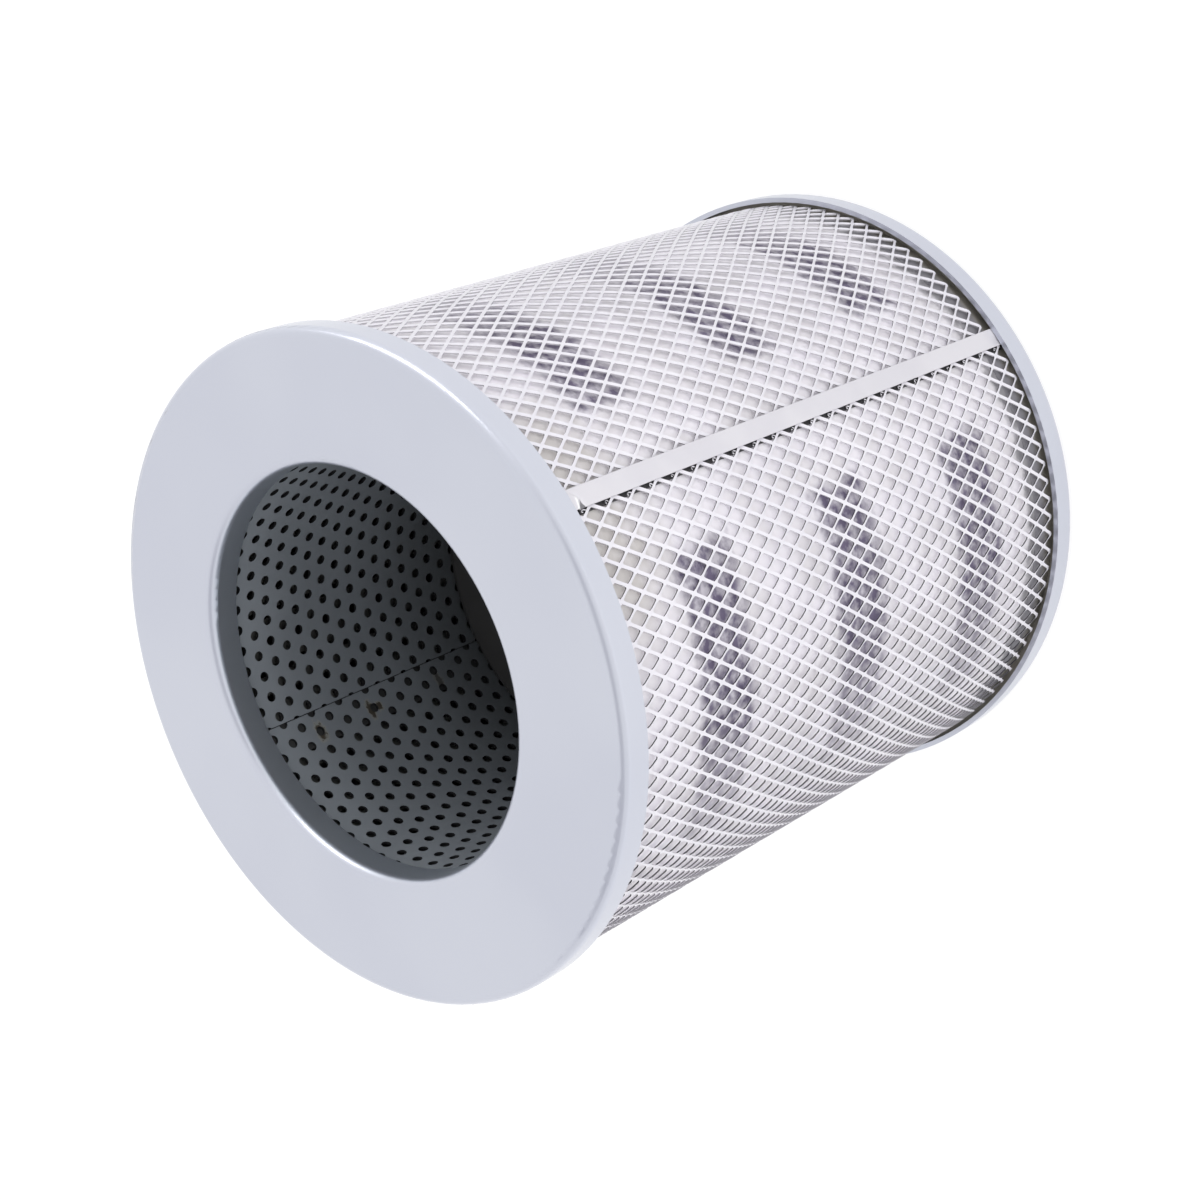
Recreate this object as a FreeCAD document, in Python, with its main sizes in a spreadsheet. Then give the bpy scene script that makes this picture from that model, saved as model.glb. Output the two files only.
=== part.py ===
# Hydraulic filter element: a pleated pack on a perforated core, between two drawn end caps,
# inside a sleeve of expanded metal. Millimetres. The element stands on its closed rear cap:
# the origin is the centre of that cap's outer face, and +Z runs along the axis to the open cap.
import FreeCAD, Part
import math
import os
import Sketcher

PARTS_FOLDER = "parts"

# Driving dimensions. Each can be changed by itself.
SIZES = {
    # End caps
    "element_length": 168.0,
    "cap_diameter": 150.0,
    "cap_sheet": 1.2,
    "front_skirt": 7.0,
    "rear_skirt": 7.1,
    "rim_inside_bend": 0.8,
    "bore_diameter": 92.0,
    "collar_depth": 7.5,
    "lip_inside_bend": 1.0,
    # Adhesive poured in the caps
    "potting_floor": 2.0,
    "front_bed_recess": 0.8,
    "rear_trough_depth": 3.0,
    "rear_bed_rise": 4.9,
    "potting_shoulder": 4.0,
    "socket_clearance": 0.05,
    # Perforated core
    "collar_clearance": 0.05,
    "core_sheet": 0.9,
    "core_seam_gap": 0.5,
    "core_seam_angle": 82.5,
    "core_lap": 8.0,
    "core_hole_diameter": 8.0,
    "core_holes_around": 12,
    "core_hole_rings": 6,
    # Plate across the core
    "plate_depth": 76.0,
    "plate_sheet": 1.2,
    "plate_flange": 8.0,
    "plate_inside_bend": 0.8,
    "plate_clearance": 0.05,
    # Pleated pack
    "pleat_count": 48,
    "pleat_tip_gap": 0.6,
    "pack_core_clearance": 0.15,
    "pack_wrap_clearance": 0.1,
    "upstream_mesh_sheet": 0.25,
    "upstream_fleece_sheet": 0.3,
    "coarse_glass_sheet": 0.35,
    "fine_glass_sheet": 0.4,
    "downstream_fleece_sheet": 0.3,
    "downstream_mesh_sheet": 0.25,
    "pack_seam_angle": 60.0,
    "clip_sheet": 0.5,
    "clip_leg": 6.0,
    "clip_clearance": 0.05,
    # Wrap and jacket
    "wrap_sheet": 0.4,
    "wrap_clearance": 0.1,
    "jacket_sheet": 0.9,
    "jacket_rear_recess": 0.5,
    "jacket_slit": 1.2,
    "jacket_cells_around": 14,
    "jacket_cells_along": 3,
    "jacket_strand": 3.6,
    "jacket_seam_angle": -90.0,
    # Strip that closes the jacket
    "strip_sheet": 0.4,
    "strip_width": 4.6,
    "strip_inner_width": 3.4,
    "strip_slit_clearance": 0.1,
    "strip_skirt_clearance": 0.3,
}

# Radii, heights and angles worked out from the driving dimensions.
PLACES = {
    "cap_radius": "sizes.cap_diameter / 2",
    "skirt_inside": "cap_radius - sizes.cap_sheet",
    "rim_outside_bend": "sizes.rim_inside_bend + sizes.cap_sheet",
    "bore_radius": "sizes.bore_diameter / 2",
    "collar_outside": "bore_radius + sizes.cap_sheet",
    "lip_outside_bend": "sizes.lip_inside_bend + sizes.cap_sheet",
    "front_face_inside": "sizes.element_length - sizes.cap_sheet",
    "front_skirt_edge": "sizes.element_length - sizes.front_skirt",
    "collar_edge": "sizes.element_length - sizes.collar_depth",
    "pack_bottom": "sizes.cap_sheet + sizes.potting_floor",
    "pack_top": "front_face_inside - sizes.potting_floor",
    "pack_length": "pack_top - pack_bottom",
    "rear_trough": "sizes.rear_skirt - sizes.rear_trough_depth",
    "rear_bed": "sizes.rear_skirt + sizes.rear_bed_rise",
    "front_bed": "front_skirt_edge + sizes.front_bed_recess",
    "core_inside": "collar_outside + sizes.collar_clearance",
    "core_outside": "core_inside + sizes.core_sheet",
    "lap_outside": "core_outside + sizes.core_sheet",
    "core_seam_sweep": "sizes.core_seam_gap / core_inside * 180 / pi",
    "core_lap_sweep": "sizes.core_lap / core_outside * 180 / pi",
    "core_hole_step": "360 / sizes.core_holes_around",
    "core_ring_step": "pack_length / sizes.core_hole_rings",
    "plate_top": "sizes.element_length - sizes.plate_depth",
    "plate_radius": "core_inside - sizes.plate_clearance",
    "plate_outside_bend": "sizes.plate_inside_bend + sizes.plate_sheet",
    "jacket_outside": "skirt_inside - sizes.strip_skirt_clearance - sizes.strip_sheet",
    "jacket_inside": "jacket_outside - sizes.jacket_sheet",
    "jacket_bottom": "sizes.rear_skirt - sizes.jacket_rear_recess",
    "jacket_length": "pack_top - jacket_bottom",
    "jacket_slit_sweep": "sizes.jacket_slit / jacket_outside * 180 / pi",
    "strip_outside": "jacket_outside + sizes.strip_sheet",
    "strip_inside": "jacket_inside - sizes.strip_sheet",
    "strip_sweep": "sizes.strip_width / jacket_outside * 180 / pi",
    "strip_inner_sweep": "sizes.strip_inner_width / jacket_inside * 180 / pi",
    "strip_web_sweep": "(sizes.jacket_slit - sizes.strip_slit_clearance) / jacket_outside * 180 / pi",
    "wrap_outside": "strip_inside - sizes.wrap_clearance",
    "wrap_inside": "wrap_outside - sizes.wrap_sheet",
    "pack_outside": "wrap_inside - sizes.pack_wrap_clearance",
    "pack_inside": "lap_outside + sizes.pack_core_clearance",
    "cell_length": "jacket_length / sizes.jacket_cells_along",
    "cell_sweep": "360 / sizes.jacket_cells_around",
    "cell_width": "2 * pi * jacket_outside / sizes.jacket_cells_around",
    "cell_across": "cell_length * cell_width"
                   " / sqrt(cell_length ^ 2 + cell_width ^ 2)",
    "cell_open_share": "1 - sizes.jacket_strand / cell_across",
    "cell_half_width": "cell_width / 2 * cell_open_share",
    "cell_half_length": "cell_length / 2 * cell_open_share",
}

# Sheets of the pleated pack, from its clean side (next to the core) to its dirty side.
PACK_SHEETS = {
    "downstream_mesh": "downstream_mesh_sheet",
    "downstream_fleece": "downstream_fleece_sheet",
    "fine_glass_layer": "fine_glass_sheet",
    "coarse_glass_layer": "coarse_glass_sheet",
    "upstream_fleece": "upstream_fleece_sheet",
    "upstream_mesh": "upstream_mesh_sheet",
}

AXIS = FreeCAD.Vector(0, 0, 1)
NEAR = 1e-4

# A cut starts at the axis and runs this share of the wall's radius, so it opens one wall only.
CUT_REACH = 1.1

doc = FreeCAD.newDocument("filter_element")
sizes = doc.addObject("Spreadsheet::Sheet", "sizes")
places = doc.addObject("Spreadsheet::Sheet", "places")


def fill_sheet(sheet, entries):
    """One row for each value: its name in column A, and its value with that alias in column B."""
    for row, (alias, content) in enumerate(entries.items(), start=1):
        sheet.set(f"A{row}", alias)
        sheet.setAlias(f"B{row}", alias)
        sheet.set(f"B{row}", content)


def size(alias):
    """A driving dimension as a plain number."""
    return float(getattr(sizes, alias))


def place(alias):
    """A worked-out radius, height or angle as a plain number."""
    return float(getattr(places, alias))


def new_body(label, turn=0.0):
    """A body with its own label, turned about the element's axis."""
    body = doc.addObject("PartDesign::Body", label)
    body.Label = label
    body.Placement = FreeCAD.Placement(FreeCAD.Vector(), AXIS, turn)
    return body


def sketch_on(body, name, role, turn=None):
    """A sketch on one of the body's own planes, which an expression can turn about the axis."""
    plane = next(item for item in body.Origin.OriginFeatures if item.Role == role)
    sketch = body.newObject("Sketcher::SketchObject", name)
    sketch.AttachmentSupport = [(plane, "")]
    sketch.MapMode = "FlatFace"
    if turn:
        sketch.AttachmentOffset = FreeCAD.Placement(FreeCAD.Vector(), FreeCAD.Vector(0, 1, 0), 1)
        sketch.setExpression("AttachmentOffset.Rotation.Angle", turn)
    return sketch


def pin_point(sketch, geometry, end, across, along):
    """Bind one end of a line, or a centre, to two expressions measured from the origin."""
    for kind, expression in (("DistanceX", across), ("DistanceY", along)):
        value = sketch.evalExpression(expression)
        index = sketch.addConstraint(Sketcher.Constraint(kind, -1, 1, geometry, end, float(value)))
        sketch.setExpression(f"Constraints[{index}]", expression)


def draw_outline(sketch, corners):
    """A closed outline of straight lines through corners that are pairs of expressions."""
    points = [
        FreeCAD.Vector(float(sketch.evalExpression(across)), float(sketch.evalExpression(along)), 0)
        for across, along in corners
    ]
    first = sketch.GeometryCount
    count = len(points)
    for index, start in enumerate(points):
        sketch.addGeometry(Part.LineSegment(start, points[(index + 1) % count]), False)
    for index, (across, along) in enumerate(corners):
        line = first + index
        sketch.addConstraint(Sketcher.Constraint("Coincident", line, 2, first + (index + 1) % count, 1))
        pin_point(sketch, line, 1, across, along)


def draw_circle(sketch, across, along, diameter):
    """A circle whose centre and diameter are expressions."""
    centre = FreeCAD.Vector(float(sketch.evalExpression(across)), float(sketch.evalExpression(along)), 0)
    width = float(sketch.evalExpression(diameter))
    circle = sketch.addGeometry(Part.Circle(centre, FreeCAD.Vector(0, 0, 1), width / 2), False)
    pin_point(sketch, circle, 3, across, along)
    index = sketch.addConstraint(Sketcher.Constraint("Diameter", circle, width))
    sketch.setExpression(f"Constraints[{index}]", diameter)


def rectangle(inside, outside, low, high):
    """Corners of a section between two radii and two heights."""
    return [(inside, low), (outside, low), (outside, high), (inside, high)]


def revolve(body, name, corners, sweep=None, turn=None):
    """Turn a section about the axis: all the way, or through a sweep centred on its plane."""
    sketch = sketch_on(body, name + "_section", "XZ_Plane", turn)
    draw_outline(sketch, corners)
    feature = body.newObject("PartDesign::Revolution", name)
    feature.Profile = sketch
    feature.ReferenceAxis = (sketch, ["V_Axis"])
    feature.Angle = 360
    if sweep:
        feature.Midplane = True
        feature.setExpression("Angle", sweep)
    sketch.Visibility = False
    doc.recompute()
    return feature


def circle_names(shape, radius, height):
    """Names of the circular edges that have one radius and lie at one height."""
    names = []
    for index, edge in enumerate(shape.Edges, start=1):
        curve = edge.Curve
        if not isinstance(curve, Part.Circle):
            continue
        if abs(curve.Radius - radius) < NEAR and abs(curve.Center.z - height) < NEAR:
            names.append(f"Edge{index}")
    return names


def round_bend(body, name, radius, height, bend):
    """Round the circular edge at a radius and height, for one side of a bend in the sheet."""
    base = body.Tip
    feature = body.newObject("PartDesign::Fillet", name)
    feature.Base = (base, circle_names(base.Shape, radius, height))
    feature.setExpression("Radius", bend)
    doc.recompute()
    return feature


def cut_columns(body, name, columns, wall_radius, count, draw):
    """Cut columns of openings through the wall on the -X side, and repeat them around the axis.

    Each column is a list of heights and an expression for its turn from the first column.
    """
    pockets = []
    for index, (heights, turn) in enumerate(columns, start=1):
        sketch = sketch_on(body, f"{name}_column_{index}", "YZ_Plane", turn)
        for height in heights:
            draw(sketch, height)
        before = body.Tip.Shape.Volume
        pocket = body.newObject("PartDesign::Pocket", f"{name}_pocket_{index}")
        pocket.Profile = sketch
        pocket.setExpression("Length", f"{wall_radius} * {CUT_REACH}")
        sketch.Visibility = False
        doc.recompute()
        if pocket.Shape.Volume > before - NEAR:
            raise RuntimeError(f"{pocket.Name} cuts nothing")
        pockets.append(pocket)
    pattern = body.newObject("PartDesign::PolarPattern", f"{name}_around")
    pattern.Originals = pockets
    z_axis = next(item for item in body.Origin.OriginFeatures if item.Role == "Z_Axis")
    pattern.Axis = (z_axis, [""])
    pattern.Angle = 360
    pattern.setExpression("Occurrences", count)
    body.Tip = pattern
    doc.recompute()


def make_front_end_cap():
    """Drawn ring: its outer skirt and the collar in its bore both turn down from the face."""
    body = new_body("front_end_cap")
    revolve(body, "front_cap_draw", [
        ("places.bore_radius", "places.collar_edge"),
        ("places.collar_outside", "places.collar_edge"),
        ("places.collar_outside", "places.front_face_inside"),
        ("places.skirt_inside", "places.front_face_inside"),
        ("places.skirt_inside", "places.front_skirt_edge"),
        ("places.cap_radius", "places.front_skirt_edge"),
        ("places.cap_radius", "sizes.element_length"),
        ("places.bore_radius", "sizes.element_length"),
    ])
    top = size("element_length")
    under = place("front_face_inside")
    round_bend(body, "front_rim_outside", place("cap_radius"), top, "places.rim_outside_bend")
    round_bend(body, "front_rim_inside", place("skirt_inside"), under, "sizes.rim_inside_bend")
    round_bend(body, "lip_outside", place("bore_radius"), top, "places.lip_outside_bend")
    round_bend(body, "lip_inside", place("collar_outside"), under, "sizes.lip_inside_bend")


def make_rear_end_cap():
    """Drawn dish: a closed face, with a skirt that turns up around the pack."""
    body = new_body("rear_end_cap")
    revolve(body, "rear_cap_draw", [
        ("0", "0"),
        ("places.cap_radius", "0"),
        ("places.cap_radius", "sizes.rear_skirt"),
        ("places.skirt_inside", "sizes.rear_skirt"),
        ("places.skirt_inside", "sizes.cap_sheet"),
        ("0", "sizes.cap_sheet"),
    ])
    round_bend(body, "rear_rim_outside", place("cap_radius"), 0, "places.rim_outside_bend")
    round_bend(body, "rear_rim_inside", place("skirt_inside"), size("cap_sheet"), "sizes.rim_inside_bend")


def make_core_tube():
    """Rolled perforated sheet whose outer edge laps over its inner edge and is welded there."""
    body = new_body("core_tube", size("core_seam_angle") - 180)
    revolve(
        body, "core_roll",
        rectangle("places.core_inside", "places.core_outside", "places.pack_bottom", "places.pack_top"),
        sweep="360 - places.core_seam_sweep",
    )
    revolve(
        body, "core_lap",
        rectangle("places.core_outside", "places.lap_outside", "places.pack_bottom", "places.pack_top"),
        sweep="places.core_lap_sweep + 2 * places.core_seam_sweep",
        turn="180 + places.core_lap_sweep / 2",
    )
    rings = int(size("core_hole_rings"))
    heights = [f"places.pack_bottom + places.core_ring_step * {ring + 0.5}" for ring in range(rings)]
    cut_columns(
        body, "core_hole",
        [(heights[0::2], None), (heights[1::2], "places.core_hole_step / 2")],
        "places.lap_outside", "sizes.core_holes_around",
        lambda sketch, height: draw_circle(sketch, "0", height, "sizes.core_hole_diameter"),
    )


def make_core_plate():
    """Pressed disc across the core, with a flange that turns down along the core's wall."""
    body = new_body("core_plate")
    revolve(body, "plate_press", [
        ("0", "places.plate_top - sizes.plate_sheet"),
        ("places.plate_radius - sizes.plate_sheet", "places.plate_top - sizes.plate_sheet"),
        ("places.plate_radius - sizes.plate_sheet", "places.plate_top - sizes.plate_flange"),
        ("places.plate_radius", "places.plate_top - sizes.plate_flange"),
        ("places.plate_radius", "places.plate_top"),
        ("0", "places.plate_top"),
    ])
    radius = place("plate_radius")
    top = place("plate_top")
    sheet = size("plate_sheet")
    round_bend(body, "plate_bend_outside", radius, top, "places.plate_outside_bend")
    round_bend(body, "plate_bend_inside", radius - sheet, top - sheet, "sizes.plate_inside_bend")


def make_wrap():
    """Thin printed sleeve around the pack."""
    body = new_body("print_wrap")
    revolve(
        body, "wrap_sleeve",
        rectangle("places.wrap_inside", "places.wrap_outside", "places.rear_bed", "places.pack_top"),
    )


def draw_cell(sketch, height):
    """One diamond opening of the jacket."""
    draw_outline(sketch, [
        ("places.cell_half_width", height),
        ("0", f"{height} + places.cell_half_length"),
        ("-places.cell_half_width", height),
        ("0", f"{height} - places.cell_half_length"),
    ])


def make_outer_jacket():
    """Sleeve of expanded metal, slit at its seam. Its rear edge is cut through open cells."""
    body = new_body("outer_jacket", size("jacket_seam_angle") - 180)
    revolve(
        body, "jacket_roll",
        rectangle("places.jacket_inside", "places.jacket_outside", "places.jacket_bottom", "places.pack_top"),
        sweep="360 - places.jacket_slit_sweep",
    )
    along = int(size("jacket_cells_along"))
    whole = [f"places.jacket_bottom + places.cell_length * {row + 0.5}" for row in range(along)]
    cut = [f"places.jacket_bottom + places.cell_length * {row}" for row in range(along + 1)]
    cut_columns(
        body, "jacket_cell",
        [(whole, None), (cut, "places.cell_sweep / 2")],
        "places.jacket_outside", "sizes.jacket_cells_around", draw_cell,
    )


def make_seam_strip():
    """Crimped strip: leaves outside and inside the jacket, joined by a web in the jacket's slit."""
    body = new_body("jacket_seam_strip", size("jacket_seam_angle"))
    low = "places.rear_trough"
    high = "places.pack_top"
    revolve(
        body, "strip_outer_leaf",
        rectangle("places.jacket_outside", "places.strip_outside", low, high),
        sweep="places.strip_sweep",
    )
    revolve(
        body, "strip_web",
        rectangle("places.jacket_inside", "places.jacket_outside", low, high),
        sweep="places.strip_web_sweep",
    )
    revolve(
        body, "strip_inner_leaf",
        rectangle("places.strip_inside", "places.jacket_inside", low, high),
        sweep="places.strip_inner_sweep",
    )


def pack_thickness():
    """Thickness of all the pack's sheets together."""
    return sum(size(alias) for alias in PACK_SHEETS.values())


def polar(radius, angle, aside=0.0):
    """A point at a radius and angle, moved aside along the tangent."""
    return FreeCAD.Vector(
        radius * math.cos(angle) - aside * math.sin(angle),
        radius * math.sin(angle) + aside * math.cos(angle),
        0,
    )


def pleat_line():
    """Corners of the pack's clean side: a flat at each fold, and a straight flank between folds.

    An outer fold lies at angle zero, where the pack's two ends meet.
    """
    count = int(size("pleat_count"))
    thickness = pack_thickness()
    outer_half = size("pleat_tip_gap") / 2
    inner_half = outer_half + thickness
    outer_radius = place("pack_outside") - thickness
    corners = []
    for pleat in range(count):
        outer_angle = 2 * math.pi * pleat / count
        inner_angle = outer_angle + math.pi / count
        corners.append(polar(outer_radius, outer_angle, -outer_half))
        corners.append(polar(outer_radius, outer_angle, outer_half))
        corners.append(polar(place("pack_inside"), inner_angle, -inner_half))
        corners.append(polar(place("pack_inside"), inner_angle, inner_half))
    return corners


def offset_line(corners, distance):
    """The same closed line, moved outwards by a distance, with mitred corners."""
    moved = []
    for index, corner in enumerate(corners):
        arriving = (corner - corners[index - 1]).normalize()
        leaving = (corners[(index + 1) % len(corners)] - corner).normalize()
        arriving_normal = FreeCAD.Vector(arriving.y, -arriving.x, 0)
        leaving_normal = FreeCAD.Vector(leaving.y, -leaving.x, 0)
        mitre = arriving_normal + leaving_normal
        moved.append(corner + mitre * (distance / (1 + arriving_normal.dot(leaving_normal))))
    return moved


def closed_wire(corners):
    """A closed wire of straight edges."""
    return Part.makePolygon(corners + [corners[0]])


def pleated_band(clean_distance, dirty_distance):
    """Solid between two offsets of the pleat line, cut open at the fold where the pack is joined."""
    line = pleat_line()
    outer = closed_wire(offset_line(line, dirty_distance))
    inner = closed_wire(offset_line(line, clean_distance))
    ring = Part.makeFace([outer, inner], "Part::FaceMakerCheese")
    band = ring.extrude(AXIS * place("pack_length"))
    half_width = size("pleat_tip_gap") + pack_thickness()
    trim_radius = place("pack_outside") - pack_thickness() - size("clip_clearance")
    trim = Part.makeBox(
        pack_thickness() * 2, half_width * 2, place("pack_length"),
        FreeCAD.Vector(trim_radius, -half_width, 0),
    )
    return band.cut(trim)


def add_pack_piece(label, shape):
    """Put a piece of the pack in the document, between the two caps' potting."""
    piece = doc.addObject("Part::Feature", label)
    piece.Label = label
    piece.Shape = shape
    piece.Placement = FreeCAD.Placement(
        FreeCAD.Vector(0, 0, place("pack_bottom")), FreeCAD.Rotation(AXIS, size("pack_seam_angle"))
    )
    return piece


def make_pack_sheets():
    """The pack's sheets, each lying on the one before. A sketch can't carry so many corners."""
    distance = 0.0
    for label, alias in PACK_SHEETS.items():
        sheet = size(alias)
        add_pack_piece(label, pleated_band(distance, distance + sheet))
        distance += sheet


def point_at_height(start, end, height):
    """The point of a straight line whose X is a given height above the axis."""
    share = (height - start.x) / (end.x - start.x)
    return start + (end - start) * share


def make_pleat_clip():
    """Channel over the pack's two ends: its legs lie on the pleat's two flanks."""
    dirty_side = offset_line(pleat_line(), pack_thickness())
    crown, foot = dirty_side[1], dirty_side[2]
    sheet = size("clip_sheet")
    web_under = place("pack_outside") - pack_thickness()
    leg_end = web_under - size("clip_leg")
    inner_top = point_at_height(crown, foot, web_under)
    inner_low = point_at_height(crown, foot, leg_end)
    outwards = FreeCAD.Vector(0, sheet, 0)
    upper = [
        inner_low,
        inner_low + outwards,
        point_at_height(crown + outwards, foot + outwards, web_under + sheet),
    ]
    lower = [FreeCAD.Vector(point.x, -point.y, 0) for point in upper]
    corners = upper + lower[::-1] + [FreeCAD.Vector(inner_top.x, -inner_top.y, 0), inner_top]
    face = Part.Face(closed_wire(corners))
    add_pack_piece("pleat_seam_clip", face.extrude(AXIS * place("pack_length")))


def bed_pack(label, pour, bedded):
    """Potting with the pack's own form left open in it."""
    cut = doc.addObject("Part::Cut", label)
    cut.Label = label
    cut.Base = pour
    cut.Tool = bedded
    doc.recompute()


def make_potting():
    """Adhesive in each cap, with the pack bedded in it and the core standing in it.

    In the rear cap it rises around the pack's foot, where the wrap stands on it, and leaves an open
    trough inside the rim. In the front cap its floor carries the wrap, the jacket and the strip.
    """
    bedded = add_pack_piece("bedded_pack", pleated_band(0, pack_thickness()))
    clip = doc.getObject("pleat_seam_clip")
    both = doc.addObject("Part::Compound", "bedded_pieces")
    both.Links = [bedded, clip]

    core_socket_inside = "places.core_inside - sizes.socket_clearance"
    core_socket_outside = "places.lap_outside + sizes.socket_clearance"
    wrap_socket_inside = "places.wrap_inside - sizes.socket_clearance"

    rear = new_body("rear_pour")
    revolve(rear, "rear_pour_section", [
        (f"{core_socket_inside} - sizes.potting_shoulder", "sizes.cap_sheet"),
        ("places.skirt_inside - sizes.rim_inside_bend", "sizes.cap_sheet"),
        ("places.skirt_inside", "sizes.cap_sheet + sizes.rim_inside_bend"),
        ("places.skirt_inside", "places.rear_trough"),
        ("places.wrap_outside", "places.rear_trough"),
        ("places.wrap_outside", "places.rear_bed"),
        (core_socket_outside, "places.rear_bed"),
        (core_socket_outside, "places.pack_bottom"),
        (core_socket_inside, "places.pack_bottom"),
        (core_socket_inside, "places.rear_trough"),
        (f"{core_socket_inside} - sizes.potting_shoulder", "places.rear_trough"),
    ])
    bed_pack("rear_potting", rear, both)

    front = new_body("front_pour")
    revolve(front, "front_pour_section", [
        ("places.collar_outside", "places.pack_top"),
        (core_socket_outside, "places.pack_top"),
        (core_socket_outside, "places.front_bed"),
        (wrap_socket_inside, "places.front_bed"),
        (wrap_socket_inside, "places.pack_top"),
        ("places.skirt_inside", "places.pack_top"),
        ("places.skirt_inside", "places.front_face_inside - sizes.rim_inside_bend"),
        ("places.skirt_inside - sizes.rim_inside_bend", "places.front_face_inside"),
        ("places.collar_outside + sizes.lip_inside_bend", "places.front_face_inside"),
        ("places.collar_outside", "places.front_face_inside - sizes.lip_inside_bend"),
    ])
    bed_pack("front_potting", front, both)


fill_sheet(sizes, {alias: str(value) for alias, value in SIZES.items()})
doc.recompute()
fill_sheet(places, {alias: f"={formula}" for alias, formula in PLACES.items()})
doc.recompute()
make_front_end_cap()
make_rear_end_cap()
make_core_tube()
make_core_plate()
make_wrap()
make_outer_jacket()
make_seam_strip()
make_pack_sheets()
make_pleat_clip()
make_potting()
doc.recompute()

NODES = [
    "front_end_cap", "rear_end_cap", "front_potting", "rear_potting", "core_tube", "core_plate",
    *PACK_SHEETS, "pleat_seam_clip", "print_wrap", "outer_jacket", "jacket_seam_strip",
]

for item in doc.Objects:
    if "Invalid" in item.State or "Error" in item.State:
        raise RuntimeError(f"{item.Label} failed: {item.State}")

os.makedirs(PARTS_FOLDER, exist_ok=True)
for node in NODES:
    shape = doc.getObject(node).Shape
    if shape.isNull() or not shape.isValid():
        raise RuntimeError(f"{node} has no valid shape")
    if len(shape.Solids) != 1:
        raise RuntimeError(f"{node} has {len(shape.Solids)} solids, not one")
    shape.exportStep(f"{PARTS_FOLDER}/{node}.step")
    print(f"{node}: {shape.Volume / 1000:.2f} cm3, {len(shape.Faces)} faces")
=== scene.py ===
"""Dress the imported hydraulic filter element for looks: jacket, strip, wrap, core, caps and studio."""

import logging
import math
from collections.abc import Callable, Iterable
from dataclasses import dataclass
from enum import Enum

import bmesh
import bpy
from mathutils import Matrix, Vector


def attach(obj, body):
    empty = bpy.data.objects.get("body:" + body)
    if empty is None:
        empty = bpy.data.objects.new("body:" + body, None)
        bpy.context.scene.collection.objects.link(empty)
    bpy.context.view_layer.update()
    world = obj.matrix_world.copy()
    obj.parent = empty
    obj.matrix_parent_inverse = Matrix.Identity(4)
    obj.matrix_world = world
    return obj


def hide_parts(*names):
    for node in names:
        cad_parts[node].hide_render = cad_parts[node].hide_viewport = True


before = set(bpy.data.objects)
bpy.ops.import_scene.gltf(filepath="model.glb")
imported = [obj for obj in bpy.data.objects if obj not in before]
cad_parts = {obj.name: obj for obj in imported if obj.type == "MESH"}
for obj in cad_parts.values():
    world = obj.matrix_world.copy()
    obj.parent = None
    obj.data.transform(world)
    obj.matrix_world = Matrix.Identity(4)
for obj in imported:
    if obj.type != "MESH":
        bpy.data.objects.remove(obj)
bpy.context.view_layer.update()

MM = 0.001
# Points closer together than this are one, and edges sharper than this stay sharp.
MERGE = 0.004 * MM
CREASE = math.radians(40.0)
LOG = logging.getLogger("filter_element")

Tree = bpy.types.NodeTree
Node = bpy.types.Node
Mesh = bpy.types.Mesh
Pair = tuple[float, float]
Triple = tuple[float, float, float]
# What may feed a node: a socket, another node by its first output in use, or a plain value.
Feed = bpy.types.NodeSocket | bpy.types.Node | float | tuple[float, ...]
# How far a sheet's first edge was pulled, and how far along the sheet the pull reaches.
Pull = tuple[Triple, float]
NO_PULL: Pull = ((0.0, 0.0, 0.0), 1.0)

# The kinds of node used most. A range's inputs are its value (0), the values that give 0 and 1 (1, 2),
# and what it gives there instead (3, 4). A mix takes its share (0) and its two colours (6, 7).
MATH = "ShaderNodeMath"
VECTOR = "ShaderNodeVectorMath"
RANGE = "ShaderNodeMapRange"
MIX = "ShaderNodeMix"
SPLIT = "ShaderNodeSeparateXYZ"
SMOOTH = "SMOOTHSTEP"


def linear(colour: str) -> tuple[float, float, float, float]:
    """Turn an sRGB hex colour into the linear one that a socket takes.

    Args:
        colour: Six hex digits after a hash.

    Returns:
        Red, green, blue and a full alpha.
    """
    parts = [int(colour[i : i + 2], 16) / 255 for i in (1, 3, 5)]
    red, green, blue = (p / 12.92 if p <= 0.04045 else ((p + 0.055) / 1.055) ** 2.4 for p in parts)
    return (red, green, blue, 1.0)


def add_node(tree: Tree, kind: str, inputs: dict[int | str, Feed] | None = None, **settings: object) -> Node:
    """Add one node with its settings, values and links.

    Args:
        tree: The tree that gets the node.
        kind: The node's type name.
        inputs: What feeds each input socket, by its name or number.
        **settings: The node's own properties.

    Returns:
        The new node.
    """
    node = tree.nodes.new(kind)
    for name, value in settings.items():
        setattr(node, name, value)
    for socket, value in (inputs or {}).items():
        if isinstance(value, bpy.types.Node):
            value = next(output for output in value.outputs if output.enabled)
        if isinstance(value, bpy.types.NodeSocket):
            tree.links.new(value, node.inputs[socket])
        else:
            node.inputs[socket].default_value = value
    return node


def bare_material(name: str) -> tuple[bpy.types.Material, Tree]:
    """Start a material whose tree is empty."""
    made = bpy.data.materials.new(name)
    made.use_nodes = True
    made.node_tree.nodes.clear()
    return made, made.node_tree


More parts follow.
